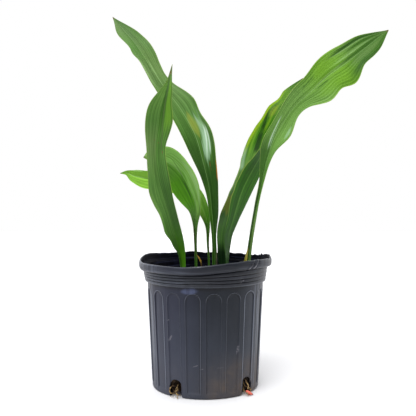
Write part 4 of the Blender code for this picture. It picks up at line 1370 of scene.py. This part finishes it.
# ---------------------------------------------------------------- shoot and bracts

# Distance between rows of the mesh of a bract, and its columns
BRACT_STEP = 0.8
BRACT_COLUMNS = 17

# Dark and light fibre and damp foot of the shoot and of each bract
BRACT_COLOURS = {
    "young_shoot": ("#4E7A22", "#7FA440", "#3E6A1C"),
    "amber_bract": ("#B4841F", "#D9B75A", "#1E160C"),
    "grey_bract": ("#4A5038", "#6E7450", "#3A3C28"),
    "straw_bract": ("#A8A030", "#D8CE70", "#A8A030"),
}


def dry_finish(name, dark, light, foot):
    """Papery fibre with long streaks and a damp foot."""
    f = Finish(name + "_skin", specular=0.35)
    u, s = f.attribute("across"), f.attribute("along")
    streak = f.noise(f.join(u * 6.0, s * 2.0, 0.4), detail=4)
    fleck = f.noise(f.join(u * 5.0, s * 16.0, 2.1), detail=3)
    base = f.mix(f.ease(streak, 0.35, 0.65), tint(dark), tint(light))
    base = f.mix(f.ease(fleck, 0.6, 0.75) * 0.5, base, tint("#5B4526"))
    base = f.mix((1 - f.ease(s, 0.68, 0.84)) * 0.9, base, tint(foot))
    base = f.mix(f.ease(s, 0.9, 1.0) * 0.6, base, tint("#6A4E2A"))
    return f.show(base, 0.55 + 0.2 * fleck, f.bump(streak + fleck * 0.4, distance=0.0006, strength=0.6))


def make_bract(name, entry):
    """One bract or shoot: a narrow blade with a frayed, curled edge."""
    node, rows, thickness = entry
    _, reach = arc_knots(np.array(rows, float)[:, :3])
    places = np.linspace(0, 1, int(reach / BRACT_STEP))
    u = np.linspace(-1, 1, BRACT_COLUMNS)
    curl_phase, ripple_phase = np.random.default_rng(len(name)).uniform(0, TWO_PI, 2)

    def relief(columns, along, share, half):
        curl = 0.16 * half * columns ** 2 * np.sin(TWO_PI * 2.0 * along + curl_phase)
        return curl + 0.06 * np.cos(TWO_PI * 4 * columns + ripple_phase)

    grid, normal, half = blade_surface(rows, (0.0, 1.0, 0.0), None, u, places, relief)
    thick = thickness * np.clip(half / half.max(), 0.3, 1.0) * (1 - 0.6 * np.abs(u)[None, :] ** 3)
    piece = blade_piece(name, grid, normal, thick, u, places, dry_finish(name, *BRACT_COLOURS[name]))
    seat(piece, "shoot_green" if name == "young_shoot" else "bract_dry", node)


# ---------------------------------------------------------------- roots

def root_finish(s):
    """Tan root skin, stained in bands, with a red bud, and painted shade inside the drain hole."""
    f = Finish("root_skin", specular=0.4)
    place = f.place()
    red, number = f.attribute("red"), f.attribute("number")
    bands = f.noise(place, 210.0, 4)
    own = f.noise(f.join(number * 3.7, 0.0, 0.0), 1.0, 0)
    base = f.mix(f.ease(bands * 0.7 + own * 0.3, 0.46, 0.62), s.brown, s.tan)
    # painted shade: roots much darker where they lie inside the drain hole
    x, y, _ = f.split(place)
    out = f.math("SQRT", x * x + y * y)
    base = f.mix(f.ease(out, 0.093, 0.106), f.darker(base, (0.12, 0.09, 0.1)), base)
    bud = f.mix(f.ease(red, 0.78, 0.95), f.mix(bands, tint("#C24638"), tint("#F0806C")), tint("#7E0F18"))
    base = f.mix(f.ease(red, 0.0, 0.08), base, bud)
    return f.show(base, 0.55 + 0.25 * bands, f.bump(bands, distance=0.0008, strength=0.8))


def root_line(angle, path, step):
    """Smooth line through a path given from the hole's inner edge."""
    out, side = around(angle)
    wall = body_radius(HOLE_MIDDLE_Z) - HOLE_WALL
    points = np.array([out * (wall + o) + side * x + np.array([0, 0, z]) for o, x, z in path])
    knots, reach = arc_knots(points)
    return hermite(knots, points, np.linspace(0, 1, max(int(reach / step), 8)))


def fine_root(draw):
    """Path of one thin root, out of the pocket and down."""
    x, z = draw.uniform(-8.5, 8.5), draw.uniform(6, 24)
    path = [(-10, x * 0.6, z - 2), (-4, x * 0.8, z)]
    out = 0.0
    for _ in range(draw.integers(3, 6)):
        out += draw.uniform(1.5, 3.2)
        x = float(np.clip(x + draw.normal(0, 3.0), -10.0, 10.0))
        z = max(z + draw.normal(-3.5, 3.0), 1.2)
        path.append((out, x, min(z, 25.0)))
    return path


def make_root_group(name, s, entry, seed):
    """Root loops and thin roots of one drain hole, with the bud where it grows."""
    node, angle, path = entry
    draw = np.random.default_rng(seed)
    main = root_line(angle, path, step=1.1)
    along = np.linspace(0, 1, len(main))
    knobs = 1 + 0.13 * np.sin(along * 47) + 0.08 * np.sin(along * 91 + 1)
    parts = [sweep(main, s.radius / MM * (1 - 0.5 * along ** 3) * knobs, sides=10)]
    for _ in range(s.fine_roots):
        line = root_line(angle, fine_root(draw), step=1.0)
        along = np.linspace(0, 1, len(line))
        thin = s.fine_radius / MM * draw.uniform(0.6, 1.4)
        parts.append(sweep(line, thin * (1.05 - 0.75 * along), sides=7))
    bud_number = len(parts)
    if name == "right_roots":
        bud = root_line(angle, RED_BUD, step=0.5)
        along = np.linspace(0, 1, len(bud))
        parts.append(sweep(bud, 0.3 + 2.7 * np.sin(np.pi * along ** 0.75) ** 0.8, sides=12))
    verts, faces, numbers = gather(parts)
    verts[:, 2] = np.maximum(verts[:, 2], ROOT_CLEARANCE)
    piece = new_piece(name, verts, faces, root_finish(s), sharp=60)
    in_bud = numbers == bud_number
    along_bud = np.cumsum(in_bud) / max(in_bud.sum(), 1)
    store(piece, number=numbers, red=np.where(in_bud, along_bud * 0.9 + 0.1, 0.0))
    seat(piece, "root_tan", node)


# ---------------------------------------------------------------- stage

# Half width of the floor and its height, just clear of the pot's foot, in metres
FLOOR_REACH = 4.0
FLOOR_Z = -0.0005


def floor_finish(s):
    """Pale, barely mottled paper."""
    f = Finish("pale_floor", specular=0.1)
    paper = f.noise(f.place(), 3.0, 4)
    return f.show(f.mix(paper * 0.03, s.floor, (0.68, 0.68, 0.69)), 0.9 + 0.05 * paper)


def overhead_light(strength):
    """Broad soft light from above and to the front, not seen itself."""
    lamp = bpy.data.lights.new("top_light", "SUN")
    lamp.energy = strength
    lamp.angle = math.radians(46)
    light = bpy.data.objects.new("top_light", lamp)
    light.location = (-0.5, -1.1, 2.0)
    aim = Vector((0.0, 0.0, 0.3)) - light.location
    light.rotation_euler = aim.to_track_quat("-Z", "Y").to_euler()
    light.visible_camera = False
    bpy.context.scene.collection.objects.link(light)


def pale_world(front, back):
    """White surround whose light is dim in front of the plant and strong behind it."""
    world = bpy.data.worlds.new("pale_surround")
    surround = Nodes(world)
    surround.tree.nodes.remove(surround.tree.nodes["Background"])
    way = surround.node("ShaderNodeTexCoord", {}, {}, "Generated")
    depth = surround.split(way)[1]
    strength = surround.node("ShaderNodeMapRange", {}, {
        "Value": depth, "From Min": -0.9, "From Max": 0.7, "To Min": front, "To Max": back})
    white = (1.0, 1.0, 1.0)
    lit = surround.node("ShaderNodeBackground", {}, {"Color": white, "Strength": strength})
    seen = surround.node("ShaderNodeBackground", {}, {"Color": white})
    direct = surround.node("ShaderNodeLightPath", {}, {}, "Is Camera Ray")
    both = surround.node("ShaderNodeMixShader", {}, {0: direct, 1: lit, 2: seen})
    surround.plug(surround.tree.nodes["World Output"].inputs["Surface"], both)
    return world


def make_stage(s):
    """Floor, soft light and camera."""
    scene = bpy.context.scene
    corners = [(-FLOOR_REACH, -FLOOR_REACH, 0), (FLOOR_REACH, -FLOOR_REACH, 0),
               (FLOOR_REACH, FLOOR_REACH, 0), (-FLOOR_REACH, FLOOR_REACH, 0)]
    mesh = bpy.data.meshes.new("studio_floor")
    mesh.from_pydata(corners, [], [(0, 1, 2, 3)])
    mesh.materials.append(floor_finish(s))
    floor = bpy.data.objects.new("studio_floor", mesh)
    floor.location.z = FLOOR_Z
    scene.collection.objects.link(floor)
    scene.world = pale_world(s.front, s.back)
    overhead_light(s.top)
    lens = bpy.data.cameras.new("camera")
    lens.lens = s.lens
    camera = bpy.data.objects.new("camera", lens)
    camera.location = (0.0, -s.distance, s.height)
    camera.rotation_euler = (math.pi / 2 - s.pitch, 0.0, -math.atan2(s.aside, s.distance))
    scene.collection.objects.link(camera)
    scene.camera = camera
    scene.view_settings.view_transform = "Standard"


# ---------------------------------------------------------------- operators

class PLANT_OT_pot(bpy.types.Operator):
    """Make the fluted nursery pot"""

    bl_idname = "plant.make_pot"
    bl_label = "Nursery pot"
    bl_options = {"REGISTER", "UNDO"}

    def execute(self, context):
        make_pot(context.scene.plant_pot)
        return {"FINISHED"}


class PLANT_OT_soil(bpy.types.Operator):
    """Fill the pot with potting mix, crumbs and bark"""

    bl_idname = "plant.make_soil"
    bl_label = "Potting soil"
    bl_options = {"REGISTER", "UNDO"}

    def execute(self, context):
        make_soil(context.scene.plant_soil)
        return {"FINISHED"}


class PLANT_OT_leaves(bpy.types.Operator):
    """Grow the six leaves"""

    bl_idname = "plant.make_leaves"
    bl_label = "Leaves"
    bl_options = {"REGISTER", "UNDO"}

    def execute(self, context):
        for name, entry in LEAVES.items():
            make_leaf(name, context.scene.plant_leaves, entry)
        return {"FINISHED"}


class PLANT_OT_bracts(bpy.types.Operator):
    """Add the young shoot and the dry bracts"""

    bl_idname = "plant.make_bracts"
    bl_label = "Shoot and bracts"
    bl_options = {"REGISTER", "UNDO"}

    def execute(self, context):
        for name, entry in BRACTS.items():
            make_bract(name, entry)
        return {"FINISHED"}


class PLANT_OT_roots(bpy.types.Operator):
    """Hang roots out of two drain holes"""

    bl_idname = "plant.make_roots"
    bl_label = "Roots"
    bl_options = {"REGISTER", "UNDO"}

    def execute(self, context):
        for number, (name, entry) in enumerate(ROOT_LOOPS.items()):
            make_root_group(name, context.scene.plant_roots, entry, ROOT_SEED + number)
        return {"FINISHED"}


class PLANT_OT_stage(bpy.types.Operator):
    """Set up the floor, lights and camera"""

    bl_idname = "plant.make_stage"
    bl_label = "Stage"
    bl_options = {"REGISTER", "UNDO"}

    def execute(self, context):
        make_stage(context.scene.plant_stage)
        return {"FINISHED"}


OPERATORS = (PLANT_OT_pot, PLANT_OT_soil, PLANT_OT_leaves, PLANT_OT_bracts, PLANT_OT_roots, PLANT_OT_stage)
SETTINGS = {
    "plant_pot": PotSettings,
    "plant_soil": SoilSettings,
    "plant_leaves": LeafSettings,
    "plant_roots": RootSettings,
    "plant_stage": StageSettings,
}


class PLANT_PT_panel(bpy.types.Panel):
    """The plant's pieces and their settings"""

    bl_label = "Potted plant"
    bl_space_type = "VIEW_3D"
    bl_region_type = "UI"
    bl_category = "Plant"

    def draw(self, context):
        for operator in OPERATORS:
            self.layout.operator(operator.bl_idname)
        for name, group in SETTINGS.items():
            box = self.layout.box()
            for key in group.__annotations__:
                box.prop(getattr(context.scene, name), key)


def register():
    """Make the settings, the operators and the panel known to Blender."""
    for group in SETTINGS.values():
        bpy.utils.register_class(group)
    for name, group in SETTINGS.items():
        setattr(bpy.types.Scene, name, PointerProperty(type=group))
    for cls in OPERATORS + (PLANT_PT_panel,):
        bpy.utils.register_class(cls)


def unregister():
    """Take them away again."""
    for cls in (PLANT_PT_panel,) + OPERATORS[::-1]:
        bpy.utils.unregister_class(cls)
    for name in SETTINGS:
        delattr(bpy.types.Scene, name)
    for group in SETTINGS.values():
        bpy.utils.unregister_class(group)


def main():
    """Make every piece in order."""
    register()
    bpy.ops.plant.make_pot()
    bpy.ops.plant.make_soil()
    bpy.ops.plant.make_leaves()
    bpy.ops.plant.make_bracts()
    bpy.ops.plant.make_roots()
    bpy.ops.plant.make_stage()
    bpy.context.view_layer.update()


if __name__ == "__main__":
    main()
